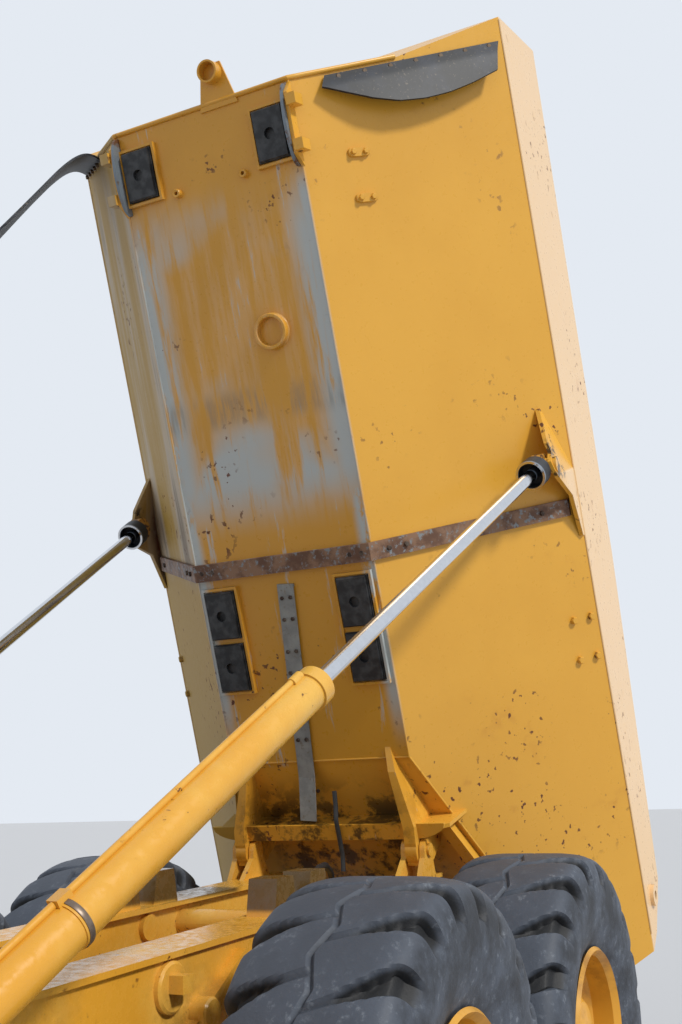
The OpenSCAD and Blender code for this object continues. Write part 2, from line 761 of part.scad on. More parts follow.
// Ladders ahead of the front wheels, carried by the brackets on the tractor rails
step_x0 = axle_front + 930;
step_w = 460;
bracket_w = 80;
handrail_r = 19;
step_in = wheel_in + 40;
step_out = wheel_out - 160;
rail_y = step_out - 20;
handrail_top = 2150;
module steps() {
    low = 560;
    high = 1540;
    foot_x = 300;
    foot_z = tyre_r + sqrt(pow(fender_r, 2) - pow(foot_x - handrail_r, 2)) + seat;
    color(dark) place() both() {
        for (x = [step_x0, step_x0 + step_w], y = [step_in, step_out - 40])
            box([x, y, low], [x + 20, y + 40, high]);
        for (z = [low:300:high])
            box([step_x0, step_in, z], [step_x0 + step_w + 20, step_out, z + 30]);
        piping(rounded([[step_x0 + 10, rail_y, high - 10], [step_x0 + 10, rail_y, handrail_top - 150],
                        [step_x0 - 120, rail_y, handrail_top], [axle_front + foot_x, rail_y, handrail_top],
                        [axle_front + foot_x, rail_y, foot_z]], 90), handrail_r);
    }
}

module tanks() {
    x0 = step_x0 - bracket_w;
    x1 = step_x0 + step_w + 100;
    top = frame_low - seat;
    color(yellow) place() both()
        slab([[x0, top], [x1, top], [x1, top - 190], [x1 - 90, top - 290], [x0 + 90, top - 290],
              [x0, top - 190]], tractor_rail + 20, bumper_w);
}

module exhaust() {
    x = cab_front + 130;
    y = -hood_w - 150;
    color([0.35, 0.33, 0.31]) place() {
        translate([x, y, 1690]) cylinder(r = 50, h = 300);
        translate([x, y, 1950]) cylinder(r = 120, h = 700);
        translate([x, y, 2600]) cylinder(r = 58, h = 650);
        translate([x, y, 1650]) cylinder(r = 80, h = 60);
        box([cab_front - 75, y - 30, 1990], [cab_front + 65, -cab_w - seat, 2070]);
    }
}

module mirrors() {
    x = cab_front - 78;
    low = 2280;
    high = 3010;
    out = wheel_out - 210;
    bow = 90;
    stand = 50;
    upper_x = x - 132;
    color(dark) place() both() {
        piping(rounded([[x, cab_w + seat, low - 30], [x, cab_w + stand, low - 30], [x + bow, out, low],
                        [x + bow, out, high], [upper_x, cab_w + stand, high + 40],
                        [upper_x, cab_w + seat, high + 40]], 40), 16, [0.2, 0.1, 1]);
        box([x + bow - 20, out - 110, low + 100], [x + bow + 20, out + 120, high - 200]);
    }
}

module head_lamps() {
    color([0.9, 0.9, 0.85]) place() both() {
        bar_x(720, 1180, 75, bumper_x + 60, bumper_x + 150);
        box([bumper_x + 30, 690, bumper_high + seat], [bumper_x + 90, 750, 1180]);
    }
}

// Bonnet, a shell open below, hinged at its front edge
hood_back = cab_front + 40;
hood_low = 1240;
hood_front = front_x;
hood_side = [[hood_back, hood_low], [hood_front - 90, hood_low], [hood_front, hood_low + 120],
             [hood_front, hood_low + 440], [hood_front - 110, hood_low + 600],
             [hood_front - 420, hood_low + 720], [hood_back, hood_low + 840]];
hood_plan = [[hood_back, -hood_w], [hood_front - 500, -hood_w + 40], [hood_front - 120, -hood_w + 130],
             [hood_front, -hood_w + 240], [hood_front, hood_w - 240], [hood_front - 120, hood_w - 130],
             [hood_front - 500, hood_w - 40], [hood_back, hood_w]];
hood_hinge = [hood_front - 160, hood_low - 40];
grille_w = 380;
grille_z = [hood_low + 140, hood_low + 420];

module hood_form() {
    intersection() {
        slab(hood_side, -hood_w - 10, hood_w + 10);
        translate([0, 0, hood_low - 10]) linear_extrude(2000) polygon(hood_plan);
    }
}

module hood() {
    long = hood_front - hood_back;
    knuckle = [330, 430];
    color(yellow) place() difference() {
        union() {
            difference() {
                hood_form();
                translate([hood_back - 1, 0, hood_low - hood_t])
                    scale([(long - hood_t) / long, (hood_w - hood_t) / hood_w, 1])
                        translate([-hood_back, 0, -hood_low]) hood_form();
            }
            both() bar_y(hood_hinge[0], hood_hinge[1], 34, knuckle[0], knuckle[1]);
            both() box([hood_hinge[0] - 34, knuckle[0], hood_hinge[1]],
                       [hood_hinge[0] + 81, knuckle[1], hood_low + 22]);
        }
        box([hood_front - 60, -grille_w, grille_z[0]], [hood_front + 10, grille_w, grille_z[1]]);
        both() bar_y(hood_hinge[0], hood_hinge[1], hood_pin_r + fit, 300, 460);
    }
}

module grille() {
    face = hood_front - 3;
    low = grille_z[0] + seat;
    high = grille_z[1] - seat;
    color(dark) place() {
        for (z = [low:42:high - 20])
            box([face - 24, -grille_w + seat, z], [face, grille_w - seat, z + 18]);
        for (y = [-grille_w + seat, -130, 110, grille_w - 20 - seat])
            box([face - 30, y, low], [face - 6, y + 20, high]);
    }
}

// Cab door, hinged at its rear edge, as thick as the wall
hinge_door = [door_x0 + 14, cab_w + 22];
door_hinges = [door_z0 + 150, door_z1 - 300];
knuckle_h = 90;
door_pin_r = 7;
module door() {
    g = clear;
    color(yellow) place() {
        difference() {
            box([door_x0 + g, cab_w - cab_t + 2, door_z0 + g], [door_x1 - g, cab_w, door_z1 - g]);
            box([door_x0 + 90, cab_w - cab_t - 10, cab_sill + 30], [door_x1 - 90, cab_w + 10, door_z1 - 80]);
        }
        for (z = door_hinges)
            difference() {
                union() {
                    translate([hinge_door[0], hinge_door[1], z]) cylinder(r = 16, h = knuckle_h, $fn = 32);
                    box([hinge_door[0], cab_w - 5, z], [hinge_door[0] + 90, cab_w + 14, z + knuckle_h]);
                }
                translate([hinge_door[0], hinge_door[1], z - 5])
                    cylinder(r = door_pin_r + fit, h = knuckle_h + 10, $fn = 32);
            }
    }
}

module door_glass() {
    color([0.55, 0.65, 0.7, 0.4]) place()
        box([door_x0 + 90 + seat, cab_w - 28, cab_sill + 30 + seat],
            [door_x1 - 90 - seat, cab_w - 28 + glass_t, door_z1 - 80 - seat]);
}

// Tipping body: belly, chines, side walls, headboard and chute, open above and behind
chine_m = (chine_n - belly_n) / (wall_w - belly_w);
chine_g = sqrt(1 + chine_m * chine_m);
function chine_at(y) = belly_n + chine_m * (y - belly_w);
chute_m = (tail_tip[1] - belly_n) / (kink_s - tail_tip[0]);
chute_g = sqrt(1 + chute_m * chute_m);
function chute_n(s) = belly_n + (kink_s - s) * chute_m;
section_out = [[-belly_w, belly_n], [belly_w, belly_n], [wall_w, chine_n], [wall_w, 3000],
               [-wall_w, 3000], [-wall_w, chine_n]];
in_belly = belly_w - plate_t * (chine_g - 1) / chine_m;
in_chine = chine_at(wall_w - plate_t) + plate_t * chine_g;
section_in = [[-in_belly, belly_n + plate_t], [in_belly, belly_n + plate_t],
              [wall_w - plate_t, in_chine], [wall_w - plate_t, 4000],
              [-wall_w + plate_t, 4000], [-wall_w + plate_t, in_chine]];
in_kink = kink_s - plate_t * (chute_g - 1) / chute_m;
far = 3000;
head_line = [[lip_s(-100), -100], [lip_s(wing_n), wing_n], [corner_s, chine_n], [head_s(4000), 4000]];
side_in = [[head_s(belly_n + plate_t) - plate_t, belly_n + plate_t], [in_kink, belly_n + plate_t],
           [in_kink - far, belly_n + plate_t + far * chute_m], [in_kink - far, 4000],
           for (i = [len(head_line) - 1:-1:1]) head_line[i] - [plate_t, 0]];

module across(section, x0, x1) {
    translate([x0, 0, 0]) rotate([90, 0, 90]) linear_extrude(x1 - x0) polygon(section);
}

// The body's closed outer form, moved down by a gap
module bed_form(gap = 0) {
    translate([0, 0, -gap]) intersection() {
        slab(side_outline, -wall_w - 10, wall_w + 10);
        across(section_out, -2000, 5000);
    }
}

module bed_shell() {
    difference() {
        bed_form();
        intersection() {
            slab(side_in, -wall_w, wall_w);
            across(section_in, -5000, 6000);
        }
    }
}

// The body's plates meet at welds: the floor, the chines, the side walls and the headboard
module floor_zone() {
    slab([[-far, -100], [far * 2, -100], [far * 2, belly_n + plate_t], [in_kink, belly_n + plate_t],
          [in_kink - far, belly_n + plate_t + far * chute_m]], -far, far);
}

module head_zone() {
    slab([for (p = head_line) p - [plate_t, 0], [2 * far, far], [2 * far, -100]], -far, far);
}

module wall_zone() {
    both() box([-far, wall_w - plate_t, in_chine], [2 * far, wall_w + 100, far]);
}

module bed() {
    color(yellow) place() on_bed() difference() {
        intersection() {
            bed_shell();
            floor_zone();
        }
        head_zone();
    }
}

module bed_chines() {
    color(yellow) place() on_bed() difference() {
        bed_shell();
        floor_zone();
        head_zone();
        wall_zone();
    }
}

module bed_walls() {
    gate = [-795, 1210];
    gate_r = 26;
    color(yellow) place() on_bed() difference() {
        union() {
            difference() {
                intersection() {
                    bed_shell();
                    wall_zone();
                }
                floor_zone();
                head_zone();
            }
            both() bar_y(gate[0], gate[1], 62, wall_w - 5, wall_w + 22);
        }
        both() bar_y(gate[0], gate[1], gate_r, wall_w - 60, wall_w + 60);
    }
}

module bed_head() {
    guard_w = wall_w - 150;
    color(yellow) place() on_bed() {
        intersection() {
            bed_shell();
            head_zone();
        }
        slab([for (n = [rim_front_n - 5, head_top_n]) [head_s(n) - plate_t, n],
              for (n = [head_top_n, rim_front_n - 5]) [head_s(n), n]], -guard_w, guard_w);
    }
}

// Hinge legs and the cross member between them
module bed_hinge() {
    color(yellow) place() on_bed() {
        both() hinge_leg();
        difference() {
            cross_member();
            bed_form(seat * chine_g);
        }
    }
}

// Fittings welded under the body: longerons, cylinder lugs, pad plates, guides and a bracket
module bed_beams() {
    color(yellow) place() on_bed() {
        difference() {
            both() {
                lift_lug();
                longeron();
            }
            bed_form(seat * chine_g);
        }
        pad_plates();
        both() guide_plate();
        horn_bracket();
    }
}

module hinge_leg() {
    leg_low = 70;
    top_y = [415, 447];
    foot_s = 140;
    difference() {
        intersection() {
            union() {
                slab([[kink_s + 60, belly_n - seat], [kink_s - 60, belly_n - seat - 60], [60, -leg_low],
                      [-60, -leg_low], [-110, 130], [-60, chute_n(-60) - seat * chute_g],
                      [kink_s, belly_n - seat * chute_g]], top_y[0] - 10, leg_in + leg_t);
                bar_y(0, 0, leg_low + 12, leg_in, leg_in + leg_t);
            }
            translate([0, 0, -300]) linear_extrude(900)
                polygon([[kink_s + 70, top_y[0]], [kink_s + 70, top_y[1]], [foot_s, leg_in + leg_t],
                         [-200, leg_in + leg_t], [-200, leg_in], [foot_s, leg_in]]);
        }
        bar_y(0, 0, hinge_pin_r + fit, leg_in - 10, leg_in + leg_t + 10);
    }
}

// Web across the body by the hinge, with a flange whose ends sweep up in an arc
beam_s = [66, 150];
web_s = 100;
module cross_member() {
    half = 500;
    sweep = 212;
    arc = [for (a = [0:15:90]) [beam_s[0] + 76 * (1 - cos(a)), half + sweep * sin(a)]];
    back = [for (i = [len(arc) - 1:-1:0]) [arc[i][0], -arc[i][1]]];
    translate([0, 0, -22]) linear_extrude(16)
        polygon(concat(arc, [[beam_s[1], half + sweep], [beam_s[1], -half - sweep]], back));
    across([[-half - 120, -8], [half + 120, -8], [half + sweep, 60], [half + sweep + 30, 280],
            [-half - sweep - 30, 280], [-half - sweep, 60]], web_s, web_s + 20);
}

// Stiffener along each edge of the chute, from the cross member's web to the tail
module longeron() {
    s = [web_s - seat, -1000];
    edge = [for (v = s) belly_w + (chute_n(v) - belly_n) / chine_m];
    intersection() {
        translate([0, 0, -100]) linear_extrude(1200)
            polygon([[s[0], edge[0] - 100], [s[0], edge[0] - 30],
                     [s[1], edge[1] - 30], [s[1], edge[1] - 100]]);
        slab([[s[0], chute_n(s[0]) - 70], [s[0], chute_n(s[0]) + 5], [s[1], chute_n(s[1]) + 5],
              [s[1], chute_n(s[1]) - 70]], 0, 1400);
    }
}

// Plate that holds a lift rod's eye, flush with the wall below and bent inwards above, with its pin boss
module lift_lug() {
    s = lift_top[0];
    n = lift_top[2];
    low_s = s - 440;
    high_s = s + 315;
    bend_s = s - 60;
    intersection() {
        slab([[low_s, chine_n + 20], [low_s, chine_n - 30], [s - 195, n + 205], [s - 62, n - 40],
              [s - 20, n - 60], [s + 25, n - 60], [s + 44, n - 24], [s + 72, n + 34], [s + 125, n + 40],
              [high_s, n + 190], [high_s, chine_n + 20]], 0, wall_w + 10);
        translate([0, 0, -100]) linear_extrude(1400)
            polygon([[low_s - 10, lug_in], [low_s - 10, wall_w], [bend_s, wall_w],
                     [high_s + 10, wall_w - 108], [high_s + 10, lug_in - 108], [bend_s + 20, lug_in]]);
    }
    bar_y(s, n, 45, lift_top[1] + rod_eye_half + clear, wall_w - 2);
}

// Yellow plates that the rubber pads are seated on, one in front and one for both rear rows
module pad_plates() {
    rim = 22;
    for (s = [[pad_front, pad_front], [pad_rows[2], pad_rows[1]]])
        both() difference() {
            box([s[0] - pad_len / 2 - rim, pad_y - pad_wide / 2 - rim, belly_n - plate_stand - 14],
                [s[1] + pad_len / 2 + rim, pad_y + pad_wide / 2 + rim, belly_n - seat]);
            box([s[0] - pad_len / 2 - 8, pad_y - pad_wide / 2 - 8, belly_n - plate_stand - 20],
                [s[1] + pad_len / 2 + 8, pad_y + pad_wide / 2 + 8, belly_n - plate_stand]);
        }
}

// Guide that centres the lowered body between the rails, beside each front pad
module guide_plate() {
    slab([[3640, belly_n - seat], [3700, belly_n - 66], [4010, belly_n - 66], [4075, belly_n - seat]],
         pad_y + pad_wide / 2 + 34, pad_y + pad_wide / 2 + 54);
    for (s = [3735, 3965])
        box([s - 28, pad_y + pad_wide / 2 + 50, belly_n - 90],
            [s + 28, pad_y + pad_wide / 2 + 104, belly_n - seat]);
}

// Bracket ahead of the belly's front edge, with a short round tube
module horn_bracket() {
    y = 130;
    tube = [belly_front + 150, y];
    translate([0, 0, belly_n - 12]) linear_extrude(12 - seat)
        polygon([[belly_front - 30, y - 110], [belly_front - 30, y + 120], [tube[0] + 50, y + 55],
                 [tube[0] + 50, y - 62]]);
    translate([tube[0], tube[1], belly_n - 70]) difference() {
        cylinder(r = 58, h = 62);
        translate([0, 0, -5]) cylinder(r = 48, h = 60);
    }
}

module bed_pads() {
    color(dark) place() on_bed() for (s = pad_rows) both()
        translate([s, pad_y, belly_n - plate_stand - seat]) difference() {
            union() {
                translate([-pad_len / 2, -pad_wide / 2, -20]) cube([pad_len, pad_wide, 20]);
                slab([[-pad_len / 2, -19], [pad_len / 2, -19], [pad_len / 2 - 8, -pad_h],
                      [8 - pad_len / 2, -pad_h]], 8 - pad_wide / 2, pad_wide / 2 - 8);
            }
            translate([0, 0, -pad_h - 10]) cylinder(r = 30, h = 32);
        }
}

// Steel under the body: the strip across belly and chines, and the bent cable cover down to the hinge
module bed_strips() {
    strip_s = 1612;
    strip_t = 22;
    cover = [[1495, belly_n - 16], [1495, belly_n - seat], [1480, belly_n - seat], [1480, belly_n - 11],
             [400, belly_n - 11], [beam_s[1] + 12, 12], [beam_s[1] + 12, 7], [398, belly_n - 16]];
    color(rust) place() on_bed() {
        difference() {
            intersection() {
                bed_form(strip_t * chine_g);
                box([strip_s - 48, 45 - wall_w, 0], [strip_s + 48, wall_w - 45, 1200]);
            }
            bed_form(seat * chine_g);
        }
        translate([1495, 5, 0]) rotate([0, 0, 4.5]) translate([-1495, 0, 0]) slab(cover, -50, 50);
    }
}

// Rubber flaps bolted under the front edges of the chines, drooping forwards from the lip
flap_t = 12;
flap_e = unit([head_lean * chine_m, 1, chine_m]);
flap_tilt = [0, acos(flap_e[2]), atan2(flap_e[1], flap_e[0])];
flap_x = [cos(flap_tilt[1]) * cos(flap_tilt[2]), cos(flap_tilt[1]) * sin(flap_tilt[2]), -sin(flap_tilt[1])];
flap_y = [-sin(flap_tilt[2]), cos(flap_tilt[2]), 0];

// A droop of station and height, seen along the lip
function seen(d) = let (v = [d[0] * cos(tip_deg) + d[1] * sin(tip_deg), 0,
                             d[1] * cos(tip_deg) - d[0] * sin(tip_deg)]) [v * flap_x, v * flap_y];

module flap(droop, y0, y1) {
    root = [-90, 0, 0];
    p = [[root * flap_x, root * flap_y], for (d = droop) seen(d)];
    side = [for (h = headings(p)) [-h[1], h[0]] * flap_t];
    under = [for (i = [len(p) - 1:-1:0]) p[i] + side[i]];
    intersection() {
        translate([lip_s(chine_at(0)) - 30, 0, chine_at(0) + 4]) rotate(flap_tilt)
            linear_extrude(2500) polygon(concat(p, under));
        box([0, y0, -2000], [6000, y1, 3000]);
    }
}

module bed_flaps() {
    color(dark) place() on_bed() difference() {
        union() {
            flap([[0, 0], [30, -90], [45, -260]], 760, wall_w - 20);
            mirror([0, 1, 0]) flap([[0, 0], [110, -10], [230, -110], [350, -250], [580, -560], [790, -845]],
                                   975, wall_w - 20);
        }
        bed_form(seat * chine_g);
    }
}

// Hose from the foot of the cable cover, over the cross member and down
module bed_hose() {
    r = 13;
    low = -22 - r - seat;
    route = [[330, 90, 40 - r - 12], [250, 92, low + 30], [beam_s[1] + 30, 94, low],
             [beam_s[0] - 10, 96, low], [-20, 100, low - 10], [-90, 104, low - 40]];
    color(dark) place() on_bed() piping(rounded(route, 18), r);
}

// Lift cylinders: lengths from the lower pin along the cylinder
lift_eye = [raised([lift_top[0], lift_top[2]])[0], lift_top[1], raised([lift_top[0], lift_top[2]])[1]];
lift_len = norm(lift_eye - lift_base);
barrel_r = barrel_d / 2;
rod_r = rod_d / 2;
gland_len = 60;
rod_in = 110;
rod_eye_r = 70;
rod_eye_half = 32;
lug_in = wall_w - 24;

module side_of(side) {
    mirror([0, side < 0 ? 1 : 0, 0]) children();
}

module lift_barrel(side) {
    neck = 70;
    color(yellow) place() side_of(side) difference() {
        union() {
            aim(lift_base, lift_eye) {
                translate([0, 0, neck]) cylinder(r = barrel_r, h = barrel_len - neck);
                translate([0, 0, barrel_len - gland_len]) cylinder(r = barrel_r + 8, h = gland_len);
                translate([-barrel_r - 8, 0, 380]) cylinder(r = 12, h = barrel_len - 500, $fn = 24);
                translate([-barrel_r - 4, 0, barrel_len - 130]) cylinder(r = 20, h = 60, $fn = 24);
                translate([0, 0, 1300]) difference() {
                    cylinder(r = barrel_r + 4, h = 36);
                    translate([0, 0, -1]) cylinder(r = barrel_r - 5, h = 38);
                }
                translate([-barrel_r - 22, -22, 1290]) cube([44, 44, 56]);
            }
            translate(lift_base - [0, 42, 0]) rotate([-90, 0, 0]) cylinder(r = barrel_r + 4, h = 84);
        }
        translate(lift_base) sphere(r = ball_r + fit);
        translate(lift_base - [0, 60, 0]) rotate([-90, 0, 0]) cylinder(r = ball_r - 5, h = 120);
        aim(lift_base, lift_eye) {
            translate([0, 0, barrel_len - gland_len - 1]) cylinder(r = rod_r + fit, h = gland_len + 10);
            translate([0, 0, 130]) cylinder(r = barrel_r - 18, h = barrel_len - gland_len - 130);
        }
    }
}

module lift_rod(side) {
    cup_r = 83;
    cup_len = 95;
    neck = rod_eye_r - 12;
    start = barrel_len - gland_len - rod_in;
    color(steel) place() side_of(side) {
        aim(lift_base, lift_eye) {
            translate([0, 0, start]) cylinder(r = rod_r, h = lift_len - start - neck);
            translate([0, 0, lift_len - neck - cup_len]) difference() {
                cylinder(r = cup_r, h = cup_len);
                translate([0, 0, -1]) cylinder(r = cup_r - 12, h = cup_len - 20);
            }
        }
        translate(lift_eye - [0, rod_eye_half, 0]) rotate([-90, 0, 0])
            cylinder(r = rod_eye_r, h = 2 * rod_eye_half);
    }
}

// Steering cylinders between the tractor rails and the coupling's ears
steer_from = [pivot_x + steer_base[0], steer_base[1], steer_z];
steer_to = [pivot_x + steer_ear[0], steer_ear[1], steer_z];
steer_len = norm(steer_to - steer_from);
steer_barrel_len = 860;
steer_rod_r = 32;

module steer_barrel(side) {
    color(yellow) place() side_of(side) difference() {
        union() {
            aim(steer_from, steer_to) translate([0, 0, 45]) cylinder(r = steer_r, h = steer_barrel_len - 45);
            translate(steer_from - [0, 0, 40]) cylinder(r = 60, h = steer_top - steer_z + 40 - seat);
        }
        translate(steer_from - [0, 0, 60]) cylinder(r = steer_pin_r + fit, h = 180);
        aim(steer_from, steer_to) {
            translate([0, 0, 100]) cylinder(r = steer_r - 14, h = steer_barrel_len - 140);
            translate([0, 0, steer_barrel_len - 50]) cylinder(r = steer_rod_r + fit, h = 60);
        }
    }
}

module steer_rod(side) {
    start = steer_barrel_len - 130;
    color(steel) place() side_of(side) {
        aim(steer_from, steer_to)
            translate([0, 0, start]) cylinder(r = steer_rod_r, h = steer_len - start - 30);
        translate(steer_to - [0, 0, steer_eye_h / 2]) cylinder(r = 58, h = steer_eye_h);
    }
}

rear_frame();
rear_rails();
bogie_axles();
bogie_beams();
frame_hoses();
tail_lamps();
hitch();
tractor_frame();
front_axle();
engine();
cab();
cab_roof();
cab_glass();
cab_inside();
fenders();
steps();
tanks();
exhaust();
mirrors();
head_lamps();
hood();
grille();
door();
door_glass();
bed();
bed_chines();
bed_walls();
bed_head();
bed_hinge();
bed_beams();
bed_pads();
bed_strips();
bed_flaps();
bed_hose();
lift_barrel(1);  // lift_barrel_left
lift_rod(1);  // lift_rod_left
lift_barrel(-1);  // lift_barrel_right
lift_rod(-1);  // lift_rod_right
steer_barrel(1);  // steer_barrel_left
steer_rod(1);  // steer_rod_left
steer_barrel(-1);  // steer_barrel_right
steer_rod(-1);  // steer_rod_right
rim(axle_front, 1);  // rim_front_left
tyre(axle_front, 1);  // tyre_front_left
rim(axle_front, -1);  // rim_front_right
tyre(axle_front, -1);  // tyre_front_right
rim(axle_mid, 1);  // rim_middle_left
tyre(axle_mid, 1);  // tyre_middle_left
rim(axle_mid, -1);  // rim_middle_right
tyre(axle_mid, -1);  // tyre_middle_right
rim(0, 1);  // rim_rear_left
tyre(0, 1);  // tyre_rear_left
rim(0, -1);  // rim_rear_right
tyre(0, -1);  // tyre_rear_right
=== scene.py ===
import math

import bmesh
import bpy
import numpy as np
from mathutils import Matrix, Vector


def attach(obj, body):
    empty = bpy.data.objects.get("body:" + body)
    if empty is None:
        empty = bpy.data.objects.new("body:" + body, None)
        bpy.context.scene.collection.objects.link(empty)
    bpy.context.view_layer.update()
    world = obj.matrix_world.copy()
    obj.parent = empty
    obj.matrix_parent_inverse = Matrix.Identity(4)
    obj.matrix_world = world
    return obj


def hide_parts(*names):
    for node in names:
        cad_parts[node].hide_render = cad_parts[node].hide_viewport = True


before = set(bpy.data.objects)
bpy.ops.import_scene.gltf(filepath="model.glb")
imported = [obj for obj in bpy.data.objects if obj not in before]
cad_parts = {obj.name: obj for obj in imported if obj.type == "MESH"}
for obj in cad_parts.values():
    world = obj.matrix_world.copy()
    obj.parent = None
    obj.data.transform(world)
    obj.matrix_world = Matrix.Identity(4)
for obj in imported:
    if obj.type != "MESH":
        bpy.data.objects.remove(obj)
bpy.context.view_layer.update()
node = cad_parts

# The camera stands ahead of the bogie on the truck's left, a little above eye height, and looks back and
# up at the underside of the raised body. Its place and angles come from the match with the photograph.
eye = Vector((2.1966, 2.969, 1.858))
yaw, pitch, roll = 0.456, 0.255, -0.026
focal_px, frame_px = 1128.6, 1024
level = Vector((-math.cos(yaw), -math.sin(yaw), 0))
side = Vector((-math.sin(yaw), math.cos(yaw), 0))
ahead = level * math.cos(pitch) + Vector((0, 0, math.sin(pitch)))
over = Vector((0, 0, math.cos(pitch))) - level * math.sin(pitch)
right = side * math.cos(roll) + over * math.sin(roll)
up = over * math.cos(roll) - side * math.sin(roll)
camera = bpy.data.objects.new("camera", bpy.data.cameras.new("camera"))
camera.data.lens = focal_px * camera.data.sensor_width / frame_px
camera.data.clip_end = 500
turn = Matrix((right, up, -ahead)).transposed().to_4x4()
camera.matrix_world = Matrix.Translation(eye) @ turn
bpy.context.scene.collection.objects.link(camera)
bpy.context.scene.camera = camera

# The studio is a wide pale floor under a plain bright sky. The camera, polished metal and glass see the sky a
# little brighter than it lights the truck. The sun is a broad soft lamp on the truck's left, a little ahead of
# it and about 39 degrees up.


def srgb(red, green, blue):
    """A screen colour of three 0 to 255 values as linear light: ((c + 0.055) / 1.055) to the power 2.4, and
    c / 12.92 where c is below 0.04045."""
    c = np.array([red, green, blue]) / 255
    low, high = c / 12.92, ((c + 0.055) / 1.055) ** 2.4
    return (*np.where(c < 0.04045, low, high), 1.0)


floor_half = 200.0
floor = bpy.data.objects.new("floor", bpy.data.meshes.new("floor"))
corners = [(-floor_half, -floor_half, 0), (floor_half, -floor_half, 0),
           (floor_half, floor_half, 0), (-floor_half, floor_half, 0)]
floor.data.from_pydata(corners, [], [(0, 1, 2, 3)])
bpy.context.scene.collection.objects.link(floor)
pale = bpy.data.materials.new("pale_floor")
pale.use_nodes = True
pale_shader = pale.node_tree.nodes["Principled BSDF"]
pale_shader.inputs["Base Color"].default_value = srgb(205, 206, 208)
pale_shader.inputs["Roughness"].default_value = 0.9
floor.data.materials.append(pale)

sky = bpy.data.worlds.new("sky")
bpy.context.scene.world = sky
sky.use_nodes = True
sky_light = sky.node_tree.nodes["Background"]
sky_light.inputs["Color"].default_value = srgb(222, 230, 242)
sky_light.inputs["Strength"].default_value = 0.62
sky_seen = sky.node_tree.nodes.new("ShaderNodeBackground")
sky_seen.inputs["Color"].default_value = srgb(228, 234, 242)
sky_seen.inputs["Strength"].default_value = 1.0
ray = sky.node_tree.nodes.new("ShaderNodeLightPath")
choose = sky.node_tree.nodes.new("ShaderNodeMixShader")
seen = ray.outputs["Is Camera Ray"]
for kind in ("Is Glossy Ray", "Is Transmission Ray"):
    either = sky.node_tree.nodes.new("ShaderNodeMath")
    either.operation = "MAXIMUM"
    sky.node_tree.links.new(seen, either.inputs[0])
    sky.node_tree.links.new(ray.outputs[kind], either.inputs[1])
    seen = either.outputs[0]
sky.node_tree.links.new(seen, choose.inputs["Fac"])
sky.node_tree.links.new(sky_light.outputs[0], choose.inputs[1])
sky.node_tree.links.new(sky_seen.outputs[0], choose.inputs[2])
sky.node_tree.links.new(choose.outputs[0], sky.node_tree.nodes["World Output"].inputs["Surface"])

sun = bpy.data.objects.new("sun", bpy.data.lights.new("sun", "SUN"))
sun.data.energy = 2.6
sun.data.angle = math.radians(8)
sun.data.color = (1.0, 0.965, 0.9)
sun_from = Vector((0.35, 1.0, 0.85))
sun.rotation_mode = "QUATERNION"
sun.rotation_quaternion = sun_from.to_track_quat("Z", "Y")
bpy.context.scene.collection.objects.link(sun)

bpy.context.scene.view_settings.view_transform = "Standard"

# Tyres: wide block-tread earthmover tyres, moulded in one piece and mounted on the rims at their beads. The
# tread is two rows of big slanted blocks with round corners, a thin zigzag groove between the rows and deep
# notches out through the shoulders. The sidewalls are smooth, with fine moulded rings.
tyre_radius = 0.8075
bead_radius, bead_half = 0.3705, 0.250
wheel_mid = 1.240
tread_blocks = 20
tread_depth = 0.048
hand_sign = {"left": 1, "right": -1}
axle_x = {"front": 2.5746, "middle": -1.6004, "rear": -3.2904}


